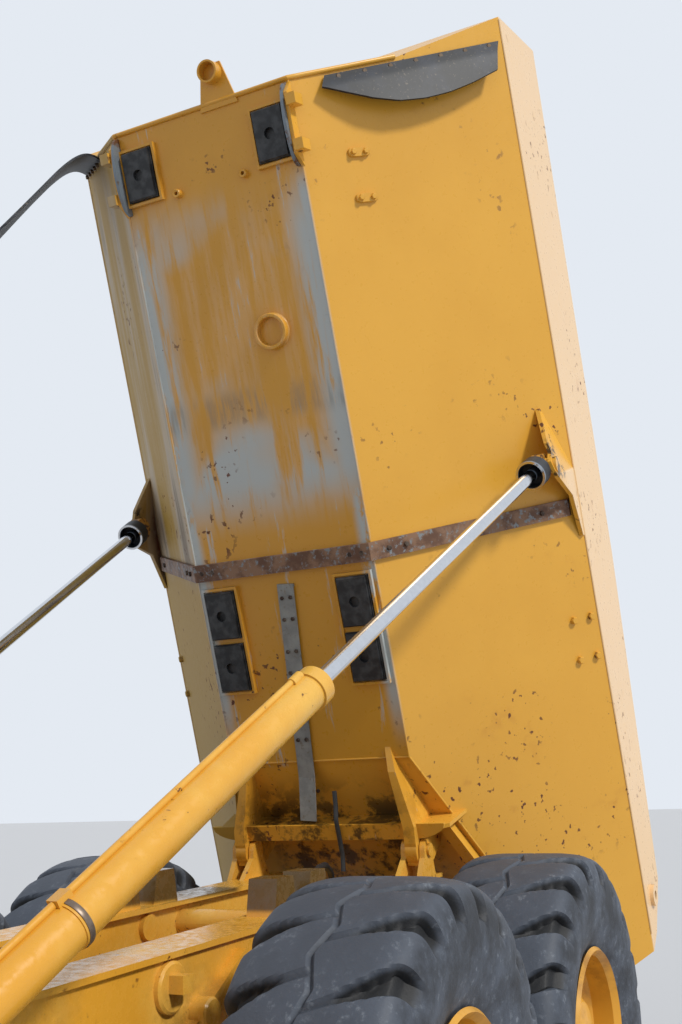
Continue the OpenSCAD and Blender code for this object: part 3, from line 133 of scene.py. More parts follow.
class Finish:
    """A material being put together. A method adds a shading node and returns its output, or sets a value of the
    surface."""

    def __init__(self, name, roughness=0.5, metallic=0.0):
        self.material = bpy.data.materials.new(name)
        self.material.use_nodes = True
        self.tree = self.material.node_tree
        self.shader = self.tree.nodes["Principled BSDF"]
        self.shader.inputs["Roughness"].default_value = roughness
        self.shader.inputs["Metallic"].default_value = metallic
        self.coords = self.tree.nodes.new("ShaderNodeTexCoord")
        self.place = self.coords.outputs["Object"]

    def put(self, socket, value):
        """Links an output to a socket, or writes a plain value to it."""
        if isinstance(value, bpy.types.NodeSocket):
            self.tree.links.new(value, socket)
        else:
            socket.default_value = value

    def noise(self, scale, detail=4.0, rough=0.55, stretch=None, at=None):
        """Noise from 0 to 1, about 1/scale metres across, drawn out along an axis by stretch."""
        where = at or self.place
        if stretch:
            where = self.mapped(where, scale=stretch)
        n = self.tree.nodes.new("ShaderNodeTexNoise")
        n.inputs["Scale"].default_value = scale
        n.inputs["Detail"].default_value = detail
        n.inputs["Roughness"].default_value = rough
        self.put(n.inputs["Vector"], where)
        return n.outputs["Fac"]

    def mapped(self, where, location=(0, 0, 0), rotation=(0, 0, 0), scale=(1, 1, 1), kind="POINT"):
        """The place moved, turned and scaled; kind TEXTURE undoes the move instead."""
        m = self.tree.nodes.new("ShaderNodeMapping")
        m.vector_type = kind
        m.inputs["Location"].default_value = location
        m.inputs["Rotation"].default_value = rotation
        m.inputs["Scale"].default_value = scale
        self.put(m.inputs["Vector"], where)
        return m.outputs["Vector"]

    def axes(self, where=None):
        """The three parts of a vector."""
        n = self.tree.nodes.new("ShaderNodeSeparateXYZ")
        self.put(n.inputs[0], where or self.place)
        return n.outputs

    def step(self, value, low, high):
        """0 below low, 1 above high and smooth between; low above high turns it round."""
        n = self.tree.nodes.new("ShaderNodeMapRange")
        n.interpolation_type = "SMOOTHSTEP"
        self.put(n.inputs["Value"], value)
        n.inputs["From Min"].default_value = min(low, high)
        n.inputs["From Max"].default_value = max(low, high)
        n.inputs["To Min"].default_value = 0.0 if low < high else 1.0
        n.inputs["To Max"].default_value = 1.0 if low < high else 0.0
        return n.outputs["Result"]

    def sum(self, kind, a, b=0.0):
        """One arithmetic step, such as ADD, MULTIPLY, MAXIMUM or ABSOLUTE."""
        n = self.tree.nodes.new("ShaderNodeMath")
        n.operation = kind
        self.put(n.inputs[0], a)
        self.put(n.inputs[1], b)
        return n.outputs[0]

    def times(self, *values):
        """The product of several values."""
        out = values[0]
        for v in values[1:]:
            out = self.sum("MULTIPLY", out, v)
        return out

    def blend(self, share, first, second):
        """From the first colour to the second as share goes from 0 to 1."""
        n = self.tree.nodes.new("ShaderNodeMix")
        n.data_type = "RGBA"
        self.put(n.inputs["Factor"], share)
        self.put(n.inputs["A"], first)
        self.put(n.inputs["B"], second)
        return n.outputs["Result"]

    def colour(self, value):
        """Sets the surface's own colour."""
        self.put(self.shader.inputs["Base Color"], value)

    def gloss(self, value):
        """Sets how rough the surface is: 0 is a mirror and 1 is chalk."""
        self.put(self.shader.inputs["Roughness"], value)

    def bump(self, height, depth, strength=1.0):
        """Raises the surface by height times depth in metres, over any bump set before."""
        n = self.tree.nodes.new("ShaderNodeBump")
        n.inputs["Strength"].default_value = strength
        n.inputs["Distance"].default_value = depth
        self.put(n.inputs["Height"], height)
        normal = self.shader.inputs["Normal"]
        if normal.is_linked:
            self.put(n.inputs["Normal"], normal.links[0].from_socket)
        self.put(normal, n.outputs["Normal"])


def outward(points, faces):
    """The faces turned so that they face out: the sum of the tetrahedra from the origin to each triangle is
    the volume, and where it comes out negative every face is turned round."""
    points = points - points.mean(axis=0)
    volume = 0.0
    for k in range(1, faces.shape[1] - 1):
        a, b, c = points[faces[:, 0]], points[faces[:, k]], points[faces[:, k + 1]]
        volume += np.einsum("ij,ij->i", a, np.cross(b, c)).sum()
    return faces if volume > 0 else faces[:, ::-1]


def surface(name, points, faces, material, body, slot, smooth=True, weld=True):
    """One mesh at the origin, from an array of points and one of faces with as many corners each. It rides on a
    body and takes one material, and edges over 35 degrees stay sharp. The slot argument is not used."""
    points = np.asarray(points, float).reshape(-1, 3)
    faces = outward(points, np.asarray(faces, np.int32))
    mesh = bpy.data.meshes.new(name)
    mesh.vertices.add(len(points))
    mesh.vertices.foreach_set("co", points.ravel())
    mesh.loops.add(faces.size)
    mesh.loops.foreach_set("vertex_index", faces.ravel())
    mesh.polygons.add(len(faces))
    mesh.polygons.foreach_set("loop_start", np.arange(0, faces.size, faces.shape[1], dtype=np.int32))
    mesh.update(calc_edges=True)
    if weld:
        work = bmesh.new()
        work.from_mesh(mesh)
        bmesh.ops.remove_doubles(work, verts=work.verts, dist=1e-6)
        work.to_mesh(mesh)
        work.free()
    mesh.polygons.foreach_set("use_smooth", np.full(len(mesh.polygons), smooth))
    if smooth:
        mesh.set_sharp_from_angle(angle=math.radians(35))
    mesh.materials.append(material)
    piece = bpy.data.objects.new(name, mesh)
    bpy.context.scene.collection.objects.link(piece)
    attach(piece, body)
    return piece


def grid_faces(rows, columns, round_rows=False, round_columns=False):
    """Quads of a grid of points, row by row. A round direction closes on itself."""
    i, j = np.meshgrid(np.arange(rows - (not round_rows)), np.arange(columns - (not round_columns)),
                       indexing="ij")
    a, b = i * columns, ((i + 1) % rows) * columns
    c, d = j, (j + 1) % columns
    return np.stack([a + c, a + d, b + d, b + c], axis=-1).reshape(-1, 4)


def smooth_step(x, low, high):
    """0 below low and 1 above high, with the cubic 3t^2 - 2t^3 between."""
    t = np.clip((x - low) / (high - low), 0, 1)
    return t * t * (3 - 2 * t)


def tyre_section(count, fine=601, passes=120, even=0.15, crowd=1.7):
    """Radius and offset from the tyre's middle round its section, and the outward normal there. Straight runs
    between knots go from bead to bead over the crown, averaged with their neighbours in 120 passes. The points
    kept lie at 0.15 q + 0.85 q^1.7 of the half length from the middle, so they crowd towards the centre."""
    knots = np.array([(bead_radius, bead_half), (0.392, 0.262), (0.430, 0.280), (0.500, 0.306), (0.597, 0.319),
                      (0.690, 0.313), (0.748, 0.300), (0.786, 0.276), (0.800, 0.225), (tyre_radius, 0.150),
                      (tyre_radius, 0.0)])
    knots = np.vstack([knots, knots[-2::-1] * (1, -1)])
    run = np.concatenate([[0], np.cumsum(np.hypot(*np.diff(knots, axis=0).T))])
    u = np.linspace(0, run[-1], fine)
    line = np.stack([np.interp(u, run, knots[:, 0]), np.interp(u, run, knots[:, 1])], axis=1)
    for _ in range(passes):
        line[1:-1] = (line[:-2] + 2 * line[1:-1] + line[2:]) / 4
    ahead_of = np.gradient(line, axis=0)
    normal = np.stack([-ahead_of[:, 1], ahead_of[:, 0]], axis=1)
    normal /= np.linalg.norm(normal, axis=1, keepdims=True)
    q = np.linspace(-1, 1, count)
    away = even * np.abs(q) + (1 - even) * np.abs(q) ** crowd
    keep = np.rint((fine - 1) / 2 * (1 + np.sign(q) * away)).astype(int)
    return line[keep], normal[keep]


def groove_depth(phase, across):
    """Share of the tread's depth that is cut away, from the phase round the tyre in blocks and the offset
    across it. The grooves of the two rows are half a block apart, narrow and shallow at the middle, wide and
    deep at the shoulder, and a thin groove runs round the centre."""
    shallow, slope_run = 0.30, 0.018
    out = np.abs(across)
    shifted = phase + np.where(across >= 0, 0.0, 0.5)
    gap = np.abs((shifted + 0.5) % 1.0 - 0.5) * 2 * math.pi * tyre_radius / tread_blocks
    half_width = 0.004 + 0.034 * smooth_step(out, 0.07, 0.29)
    depth = shallow + (1 - shallow) * smooth_step(out, 0.06, 0.20)
    groove = (1 - smooth_step(gap, half_width, half_width + slope_run)) * depth
    centre = shallow * (1 - smooth_step(out, 0.003, 0.012))
    return np.maximum(groove, centre)


def tyre_surface(turns=520, ribs=89):
    """The section swept round the axle on a slanted grid: the angle lags by 0.62 of a block times the offset
    over 0.32 m to the power 1.2, and the middle ribs swing 22 mm each way in a zigzag with the blocks. Where
    the tread is, the groove depth comes off along the normal, and rings 2 mm high stand on the sidewalls."""
    ring_radii, ring_high, ring_half = (0.440, 0.520, 0.536, 0.630), 0.002, 0.0035
    swing, swing_half = 0.022, 0.07
    lag, lag_off, lag_power = 0.62, 0.32, 1.2
    line, normal = tyre_section(ribs)
    block = 2 * math.pi / tread_blocks
    a, r = np.meshgrid(np.arange(turns) * 2 * math.pi / turns, line[:, 0], indexing="ij")
    w = np.broadcast_to(line[:, 1], a.shape)
    cut = groove_depth(a / block, w) * smooth_step(r, 0.650, 0.715)
    ring = sum(np.exp(-((r - c) / ring_half) ** 2) for c in ring_radii)
    stand = ring_high * ring - tread_depth * cut
    zigzag = swing * (4 * np.abs((a / block + 0.25) % 1.0 - 0.5) - 1) * np.exp(-(w / swing_half) ** 2)
    angle = a - block * np.sign(w) * lag * (np.abs(w) / lag_off) ** lag_power
    radius, off = r + stand * normal[:, 0], w + zigzag + stand * normal[:, 1]
    return np.stack([radius * np.sin(angle), off, radius * np.cos(angle)], axis=-1), cut


rubber_wall, rubber_worn = srgb(34, 37, 43), srgb(72, 79, 91)
rubber_dust, rubber_groove_shade = srgb(132, 140, 150), srgb(14, 16, 20)
tread = Finish("tyre_rubber", roughness=0.62)
depth_note = tread.tree.nodes.new("ShaderNodeAttribute")
depth_note.attribute_name = "groove"
crown_note = tread.tree.nodes.new("ShaderNodeAttribute")
crown_note.attribute_name = "crown"
rubber_cloud = tread.noise(5, 7, 0.68)
rubber_fine = tread.noise(34, 6, 0.7)
rubber_look = tread.blend(tread.step(rubber_cloud, 0.35, 0.7), rubber_wall, rubber_worn)
rubber_look = tread.blend(tread.times(crown_note.outputs["Fac"], 0.75), rubber_look, rubber_worn)
dusty = tread.times(tread.step(rubber_fine, 0.52, 0.72), tread.step(rubber_cloud, 0.42, 0.62), 0.55)
rubber_look = tread.blend(dusty, rubber_look, rubber_dust)
# Painted shade: the tread's grooves are painted darker, towards near black, the deeper they are cut.
tread.colour(tread.blend(tread.step(depth_note.outputs["Fac"], 0.12, 0.6), rubber_look, rubber_groove_shade))
tread.bump(rubber_cloud, 0.012, 0.5)
tread.bump(rubber_fine, 0.0025, 0.5)
tyre_points, tyre_cut = tyre_surface()
tyre_faces = grid_faces(*tyre_cut.shape, True, True)
tyre_crown = smooth_step(np.hypot(tyre_points[..., 0], tyre_points[..., 2]), 0.72, 0.79)
places = [(row, hand) for row in axle_x for hand in hand_sign]
for row, hand in places:
    sign = hand_sign[hand]
    middle = (axle_x[row], sign * wheel_mid, tyre_radius)
    tyre = surface(f"tyre_{row}_{hand}_tread", tyre_points * (sign, sign, 1) + middle, tyre_faces,
                   tread.material, f"wheel_{row}_{hand}", "tyre_rubber", weld=False)
    for note, value in (("groove", tyre_cut), ("crown", tyre_crown)):
        marks = tyre.data.attributes.new(note, "FLOAT", "POINT")
        marks.data.foreach_set("value", value.ravel().astype(np.float32))
    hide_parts(f"tyre_{row}_{hand}")

# Rims: deep rolled steel rims with a welded disc, painted yellow, darker in patches and chipped to rust in
# specks. Hex nuts hold the disc to the hub in a ring.


def dress(names, finish):
    """Gives CAD nodes one finish. They ride on their bodies already."""
    for name in names:
        mesh = node[name].data
        mesh.materials.clear()
        mesh.materials.append(finish.material)


rim_yellow, rim_shade = srgb(216, 158, 50), srgb(166, 116, 38)
rim_paint = Finish("rim_paint", roughness=0.38)
rim_cloud = rim_paint.noise(4, 6, 0.65)
rim_fine = rim_paint.noise(44, 5, 0.62)
rim_look = rim_paint.blend(rim_paint.step(rim_cloud, 0.4, 0.72), rim_yellow, rim_shade)
rim_chips = rim_paint.times(rim_paint.step(rim_fine, 0.63, 0.68), rim_paint.step(rim_cloud, 0.45, 0.6))
rim_paint.colour(rim_paint.blend(rim_chips, rim_look, srgb(92, 56, 34)))
rim_paint.gloss(rim_paint.sum("ADD", rim_paint.times(rim_fine, 0.3), 0.25))
rim_paint.bump(rim_fine, 0.001, 0.3)
dress([f"rim_{row}_{hand}" for row, hand in places], rim_paint)


def hex_heads(centres, axis, width, height):
    """Six-sided bolt heads with a chamfered top, along one axis: three rings of six points and a middle point
    for each centre. A head is open underneath, where it stands on its seat."""
    axis = np.asarray(axis, float) / np.linalg.norm(axis)
    side_a = np.cross(axis, (0.3, 0.2, 0.9))
    side_a /= np.linalg.norm(side_a)
    side_b = np.cross(axis, side_a)
    a = np.arange(6) * math.pi / 3
    rings = [(0.0, 1.0), (height * 0.75, 1.0), (height, 0.82), (height, 0.0)]
    corner = np.cos(a)[:, None] * side_a + np.sin(a)[:, None] * side_b
    shape = np.stack([axis * h + width / math.sqrt(3) * k * corner for h, k in rings])
    centres = np.asarray(centres, float)
    points = centres[:, None, None] + shape[None]
    faces = grid_faces(4, 6, round_columns=True)[None] + 24 * np.arange(len(centres))[:, None, None]
    return points.reshape(-1, 3), faces.reshape(-1, 4)


nut_steel = Finish("nut_steel", roughness=0.5, metallic=0.5)
nut_steel.colour(nut_steel.blend(nut_steel.noise(30, 4), srgb(120, 108, 92), srgb(84, 60, 42)))
nut_steel.bump(nut_steel.noise(200, 3), 0.0004, 0.4)
nut_count, nut_circle, disc_face = 18, 0.222, 1.317
nut_angle = np.arange(nut_count) * 2 * math.pi / nut_count
for row, hand in places:
    sign = hand_sign[hand]
    ring = np.stack([axle_x[row] + nut_circle * np.sin(nut_angle), np.full(nut_count, sign * disc_face),
                     tyre_radius + nut_circle * np.cos(nut_angle)], axis=1)
    surface(f"nuts_{row}_{hand}", *hex_heads(ring, (0, sign, 0), 0.034, 0.028), nut_steel.material,
            f"wheel_{row}_{hand}", "rim_paint", smooth=False)

# The rear frame is two welded box rails with cross tubes, brackets and the bogie's beams and axles below.
# It is sprayed yellow, paler in patches, with specks of rust, dirt low down and dark grease on top between the
# rails. The cylinders' barrels are steel tube in the same paint.
frame_yellow, frame_pale = srgb(216, 156, 50), srgb(224, 176, 80)
frame_rust, frame_dirt = srgb(104, 62, 36), srgb(96, 84, 66)
paint = Finish("frame_paint", roughness=0.42)
patches = paint.noise(1.6, 6, 0.6)
fine = paint.noise(28, 5, 0.62)
spot = paint.axes()
low_down = paint.step(spot["Z"], 1.15, 0.45)
base = paint.blend(paint.step(patches, 0.4, 0.72), frame_yellow, frame_pale)
dirt = paint.times(low_down, paint.step(paint.noise(5, 6, 0.7), 0.3, 0.75), 0.75)
base = paint.blend(dirt, base, frame_dirt)
grime = paint.times(paint.step(paint.noise(3.1, 6, 0.7), 0.5, 0.66), paint.step(spot["Z"], 1.45, 1.0), 0.6)
base = paint.blend(grime, base, srgb(92, 70, 42))
greased = paint.times(paint.step(spot["Z"], 1.425, 1.45), paint.step(paint.sum("ABSOLUTE", spot["Y"]), 0.73, 0.70),
                      paint.step(spot["X"], 0.2, 0.1), paint.step(spot["X"], -3.2, -3.1), 0.85)
base = paint.blend(greased, base, srgb(40, 36, 32))
specks = paint.times(paint.step(fine, 0.63, 0.69), paint.step(paint.noise(2.4, 3), 0.46, 0.6))
paint.colour(paint.blend(specks, base, frame_rust))
paint.gloss(paint.step(fine, 0.9, -0.3))
paint.bump(fine, 0.0012, 0.35)
dress(["rear_frame", "rear_rails", "bogie_axles", "bogie_beams", "hitch"], paint)
dress([f"{part}_barrel_{hand}" for part in ("lift", "steer") for hand in hand_sign], paint)

# Black hydraulic hoses run along the rear cross tube, and from the cable cover down under the body. They are
# moulded rubber over braid, held at both ends by the machine.
rubber = Finish("hose_rubber", roughness=0.5)
rubber.colour(rubber.blend(rubber.noise(60, 3), srgb(20, 22, 24), srgb(48, 50, 52)))
rubber.bump(rubber.noise(300, 2), 0.0006, 0.4)
dress(["frame_hoses", "bed_hose"], rubber)

# Tail lamps stand on the frame's rear plate. Their lenses are moulded red plastic with a fine ripple, screwed
# on from outside.
lens = Finish("red_lens", roughness=0.12)
lens.colour(lens.blend(lens.noise(70, 2), srgb(140, 12, 14), srgb(176, 26, 22)))
lens.bump(lens.noise(220, 1, 0.4), 0.001, 0.4)
dress(["tail_lamps"], lens)

# The body is welded from thick plate. Its belly is worn to grey primer in streaks, its chines are smooth
# yellow with rust pits, and its inside is scoured bare steel with brown rust. In its own coordinates s runs
# forward along it from the hinge, y to the left, and n square to the belly, into the body.
hinge = Vector((-3.5994, 0, 1.625))
tip = math.radians(69.8)
belly_n, belly_half, chine_slope, wall_half, wall_foot = 0.059, 0.550, 1.0905, 1.445, 1.035
kink_s, front_s, chute_slope, head_lean = 0.490, 4.090, 0.38383, 0.18
body_yellow, body_orange = srgb(224, 168, 62), srgb(206, 148, 46)
primer, scuff = srgb(184, 190, 188), srgb(104, 100, 90)
bare_steel, body_rust = srgb(128, 116, 102), srgb(98, 54, 30)
plate = Finish("body_paint", roughness=0.3)
along = plate.mapped(plate.place, location=hinge, rotation=(0, -tip, 0), kind="TEXTURE")
s, y, n = plate.axes(along)
beside = plate.sum("ABSOLUTE", y)
broad = plate.noise(0.9, 5, 0.6, at=along)
grain = plate.noise(30, 5, 0.6, at=along)
drawn = plate.noise(2.2, 6, 0.62, stretch=(0.3, 2.8, 2.8), at=along)
# On the belly, streaks are worn to primer, most towards its edges.
belly = plate.times(plate.step(beside, 0.56, 0.545), plate.step(n, 0.075, 0.062))
worn_zone = plate.times(plate.step(s, 1.75, 2.1), plate.step(s, 3.75, 3.3))
edge_zone = plate.sum("MAXIMUM", plate.step(beside, 0.34, 0.5),
                      plate.step(plate.noise(0.8, 3, at=along), 0.48, 0.62))
worn = plate.times(belly, worn_zone, edge_zone, plate.step(drawn, 0.40, 0.50))
streaks = plate.noise(5.0, 7, 0.7, stretch=(0.22, 2.4, 2.4), at=along)
worn = plate.times(worn, plate.step(streaks, 0.34, 0.50))
rim_worn = plate.times(belly, plate.step(beside, 0.46, 0.52), plate.step(s, 0.5, 0.9), plate.step(s, 3.7, 3.5),
                       plate.step(plate.noise(3.0, 6, 0.7, stretch=(0.6, 1.6, 1.6), at=along), 0.40, 0.47))
low_worn = plate.sum("MAXIMUM", rim_worn, plate.times(belly, plate.step(streaks, 0.60, 0.66), 0.7))
shade = plate.blend(plate.step(broad, 0.35, 0.7), body_yellow, plate.blend(0.35, body_yellow, body_orange))
# Painted shade: the belly, which faces down, is painted 70 percent of the way to a darker orange than the chines.
shade = plate.blend(plate.times(belly, 0.70), shade, body_orange)
pale_orange = srgb(220, 176, 122)
shade = plate.blend(plate.times(belly, worn_zone, plate.step(streaks, 0.42, 0.62), 0.55), shade, pale_orange)
shade = plate.blend(plate.sum("MAXIMUM", worn, low_worn), shade, primer)
dark = plate.times(belly, plate.step(s, 2.35, 2.45), plate.step(s, 2.62, 2.52),
                   plate.step(streaks, 0.45, 0.6), 0.4)
shade = plate.blend(dark, shade, scuff)
# The right chine is duller. It faces away from the sun and is painted a darker olive as painted shade, with long
# pale and dark streaks of painted reflection. Both walls are painted paler above their foot, a painted reflection
# of the sky.
over_chine = plate.sum("SUBTRACT", n, plate.times(beside, chine_slope))
far_side = plate.times(plate.step(y, -0.555, -0.565), plate.step(over_chine, -0.50, -0.53))
far_chine = plate.times(far_side, plate.step(s, 1.45, 1.75), plate.step(s, 4.3, 3.6))
reflection_streaks = plate.noise(2.0, 4, 0.55, stretch=(0.22, 1.9, 1.9), at=along)
shade = plate.blend(plate.times(far_side, 0.8), shade, srgb(158, 128, 46))
shade = plate.blend(plate.times(far_chine, plate.step(reflection_streaks, 0.36, 0.60), 0.55), shade, srgb(200, 196, 190))
shade = plate.blend(plate.times(far_chine, plate.step(reflection_streaks, 0.54, 0.66), 0.7), shade, srgb(92, 74, 58))
# Painted reflection of the sky: the outer faces of both walls are painted pale beige above their foot.
wall_sky_reflection = plate.times(plate.step(beside, 1.440, 1.4445), plate.step(n, 0.6, 0.9))
shade = plate.blend(plate.times(wall_sky_reflection, 0.65), shade, srgb(236, 208, 172))
# Rust pits lie in clusters with an orange bleed round them, and grease near the hinge and at the lift lugs.
cluster = plate.step(plate.noise(1.5, 4, 0.6, at=along), 0.53, 0.66)
pits = plate.times(plate.step(plate.noise(24, 3, 0.5, at=along), 0.64, 0.665), cluster)
bleed = plate.times(plate.step(plate.noise(7, 5, 0.6, at=along), 0.56, 0.72), cluster, 0.25)
shade = plate.blend(bleed, shade, srgb(170, 104, 40))
shade = plate.blend(pits, shade, body_rust)
greasy = plate.times(plate.step(s, 0.42, 0.12), plate.step(beside, 0.60, 0.40),
                     plate.step(plate.noise(5, 6, 0.7, at=along), 0.46, 0.56))
shade = plate.blend(plate.times(greasy, 0.85), shade, srgb(44, 34, 26))
lug_zone = plate.times(plate.step(beside, 1.32, 1.34), plate.step(s, 1.78, 1.82), plate.step(s, 2.04, 1.98),
                       plate.step(n, 0.86, 0.80), plate.step(plate.noise(16, 6, 0.7, at=along), 0.5, 0.56))
shade = plate.blend(plate.times(lug_zone, 0.9), shade, srgb(40, 34, 32))
# What faces into the body is bare steel: the surface's normal tells the inside from the outside.
facing = plate.axes(plate.coords.outputs["Normal"])
inward = plate.sum("ADD", plate.times(facing["X"], -math.sin(tip)), plate.times(facing["Z"], math.cos(tip)))
inside = plate.step(inward, 0.12, 0.3)
wall_in = plate.times(plate.step(plate.times(y, facing["Y"]), -0.6, -0.9), plate.step(n, 0.9, 1.0))
inside = plate.sum("MAXIMUM", inside, wall_in)
backward = plate.sum("ADD", plate.times(facing["X"], -math.cos(tip)), plate.times(facing["Z"], -math.sin(tip)))
head_in = plate.times(plate.step(backward, 0.5, 0.7), plate.step(s, 4.0, 4.05),
                      plate.step(over_chine, -0.50, -0.47), plate.step(n, 0.07, 0.09))
inside = plate.sum("MAXIMUM", inside, head_in)
bare = plate.blend(plate.step(plate.noise(3.2, 8, 0.7, at=along), 0.4, 0.62), bare_steel, body_rust)
plate.colour(plate.blend(inside, shade, bare))
bared = plate.sum("MAXIMUM", plate.sum("MAXIMUM", worn, inside), pits)
dull = plate.sum("ADD", plate.times(bared, 0.3), plate.sum("ADD", plate.times(grain, 0.2), 0.2))
plate.gloss(plate.sum("ADD", plate.times(plate.step(y, -0.55, -0.57), 0.3), dull))
plate.bump(broad, 0.012, 0.25)
plate.bump(grain, 0.0010, 0.25)
dress(["bed", "bed_chines", "bed_walls", "bed_head", "bed_hinge", "bed_beams"], plate)

# Weld beads run where the body's plates meet: along both edges of the belly, across its kink, up the chute's
# edges and along the foot of each side wall. A rolled lip of round bar stiffens the front edge.


def on_body(s, y, n):
    """A point of the body from its own coordinates: s along it from the hinge, y to the left and n square to
    the belly, turned up by the tip angle about the hinge pin."""
    s, y, n = np.broadcast_arrays(*(np.asarray(v, float) for v in (s, y, n)))
    return np.stack([hinge.x + s * math.cos(tip) - n * math.sin(tip), y,
                     hinge.z + s * math.sin(tip) + n * math.cos(tip)], axis=-1)


def tube(paths, radius, sides=10):
    """Round bars along paths of points: a circle of the radius stands square to the path at each point, and
    its two axes come from the path's direction and one fixed direction off it. Both ends close to a point."""
    points, faces, base = [], [], 0
    for path in paths:
        path = np.asarray(path, float)
        ahead = np.gradient(path, axis=0)
        ahead /= np.linalg.norm(ahead, axis=1, keepdims=True)
        off = np.array([0.31, 0.52, 0.79])
        across = np.cross(ahead, off)
        across /= np.linalg.norm(across, axis=1, keepdims=True)
        third = np.cross(ahead, across)
        a = np.arange(sides) * 2 * math.pi / sides
        round_it = np.cos(a)[None, :, None] * across[:, None] + np.sin(a)[None, :, None] * third[:, None]
        ring = path[:, None] + radius * round_it
        ring = np.concatenate([np.repeat(path[:1, None], sides, 1), ring, np.repeat(path[-1:, None], sides, 1)])
        points.append(ring.reshape(-1, 3))
        faces.append(grid_faces(len(ring), sides, round_columns=True) + base)
        base += ring.shape[0] * sides
    return np.concatenate(points), np.concatenate(faces)


weld_radius, lip_radius, lip_half, lip_off = 0.006, 0.013, 0.98, 0.004
seams = []
chute_s = np.linspace(kink_s, -1.05, 30)
chute_n = belly_n + (kink_s - chute_s) * chute_slope
chute_y = belly_half + (chute_n - belly_n) / chine_slope
for sign in (1, -1):
    seams.append(on_body(np.linspace(kink_s, front_s, 60), sign * belly_half, belly_n))
    seams.append(on_body(chute_s, sign * chute_y, chute_n))
    seams.append(on_body(np.linspace(-0.95, 4.36, 60), sign * wall_half, wall_foot))
seams.append(on_body(kink_s, np.linspace(-belly_half, belly_half, 30), belly_n))
surface("body_welds", *tube(seams, weld_radius, 8), plate.material, "bed", "yellow_paint")
lip_y = np.linspace(-lip_half, lip_half, 60)
lip_n = belly_n + np.maximum(np.abs(lip_y) - belly_half, 0) * chine_slope
lip = on_body(front_s + head_lean * (lip_n - belly_n), lip_y, lip_n)
lip = lip + on_body(lip_off, 0, -lip_off) - on_body(0, 0, 0)
surface("front_lip", *tube([lip], lip_radius, 12), plate.material, "bed", "yellow_paint")

# Two short tube bosses and a wide pipe ring stand on the belly: cut tube, welded on and painted with the body.
# On the left chine are two small steel plates with round ends, each held by two hex bolts, and more hex bolts
# stand in small groups near the rear of both chines.


def turned(profile, centre, axis, sides=24):
    """A round boss: a profile of (radius, height) swept about an axis through a centre."""
    axis = np.asarray(axis, float) / np.linalg.norm(axis)
    side_a = np.cross(axis, (0.3, 0.9, 0.2))
    side_a /= np.linalg.norm(side_a)
    side_b = np.cross(axis, side_a)
    a = np.arange(sides) * 2 * math.pi / sides
    profile = np.asarray(profile, float)
    ring = np.cos(a)[None, :, None] * side_a + np.sin(a)[None, :, None] * side_b
    points = np.asarray(centre, float) + profile[:, 1, None, None] * axis + profile[:, 0, None, None] * ring
    return points.reshape(-1, 3), grid_faces(len(profile), sides, round_columns=True)


def joined(parts):
    """Several (points, faces) pairs as one."""
    base = np.cumsum([0] + [len(p) for p, _ in parts[:-1]])
    faces = [outward(p, f) + b for (p, f), b in zip(parts, base)]
    return np.concatenate([p for p, _ in parts]), np.concatenate(faces)


down = on_body(0, 0, -1.0) - on_body(0, 0, 0)
boss = [(0.0, 0.002), (0.010, 0.002), (0.010, 0.030), (0.020, 0.032), (0.023, 0.028), (0.023, -0.002),
        (0.0, -0.002)]
pipe = [(0.076, -0.002), (0.076, 0.034), (0.080, 0.038), (0.092, 0.038), (0.096, 0.034), (0.096, 0.006),
        (0.103, -0.002)]
boss_s, boss_y, pipe_s, pipe_y, pipe_sides = 3.69, 0.21, 2.85, 0.204, 48
bosses = [turned(boss, on_body(boss_s, by, belly_n), down) for by in (boss_y, -boss_y)]
ring_points, _ = turned(pipe, on_body(pipe_s, pipe_y, belly_n), down, pipe_sides)
bosses.append((ring_points, grid_faces(len(pipe), pipe_sides, True, True)))
surface("belly_bosses", *joined(bosses), plate.material, "bed", "yellow_paint")
chine_out = np.array([math.sin(tip), chine_slope, -math.cos(tip)])
chine_out /= np.linalg.norm(chine_out)


def on_chine(s, y, off=0.0, hand=1):
    """A point of a chine's underside at s and y, off metres out along its normal. hand is -1 on the right."""
    y = np.asarray(y, float)
    return on_body(s, hand * y, belly_n + (y - belly_half) * chine_slope) + off * chine_out * (1, hand, 1)


def lozenge(s, y, half_across, half_along, thick, turns=40):
    """A plate with round ends lying across the chine: rings of a superellipse of power 4 from its foot over a
    bevelled edge to its middle."""
    along_s = on_body(1, 0, 0) - on_body(0, 0, 0)
    along_y = np.cross(chine_out, along_s)
    a = np.arange(turns) * 2 * math.pi / turns
    squared = (np.abs(np.cos(a)) ** 4 + np.abs(np.sin(a)) ** 4) ** -0.25
    outline = ((half_along * squared * np.cos(a))[:, None] * along_s
               + (half_across * squared * np.sin(a))[:, None] * along_y)
    layers = [(0.0, -0.002), (1.0, -0.002), (1.0, thick * 0.7), (0.94, thick), (0.0, thick)]
    points = [on_chine(s, y) + off * chine_out + k * outline for k, off in layers]
    return np.concatenate(points), grid_faces(len(layers), turns, round_columns=True)


cleat_at, cleat_y = (3.69, 3.45), 0.77
cleats = [lozenge(cs, cleat_y, 0.062, 0.024, 0.016) for cs in cleat_at]
surface("chine_cleats", *joined(cleats), plate.material, "bed", "yellow_paint")
stud_spots = [(cs, cleat_y + dy) for cs in cleat_at for dy in (-0.024, 0.024)]
studs = [hex_heads([on_chine(bs, by, 0.014)], chine_out, 0.028, 0.018) for bs, by in stud_spots]
surface("cleat_bolts", *joined(studs), plate.material, "bed", "yellow_paint", smooth=False)
side_spots = [(0.97, 1.33, 1), (0.97, 1.41, 1), (0.74, 1.33, 1), (0.74, 1.41, 1),
              (0.95, 1.38, -1), (0.71, 1.38, -1)]
studs = [hex_heads([on_chine(bs, by, -0.002, h)], chine_out * (1, h, 1), 0.038, 0.026) for bs, by, h in side_spots]
surface("chine_bolts", *joined(studs), plate.material, "bed", "yellow_paint", smooth=False)

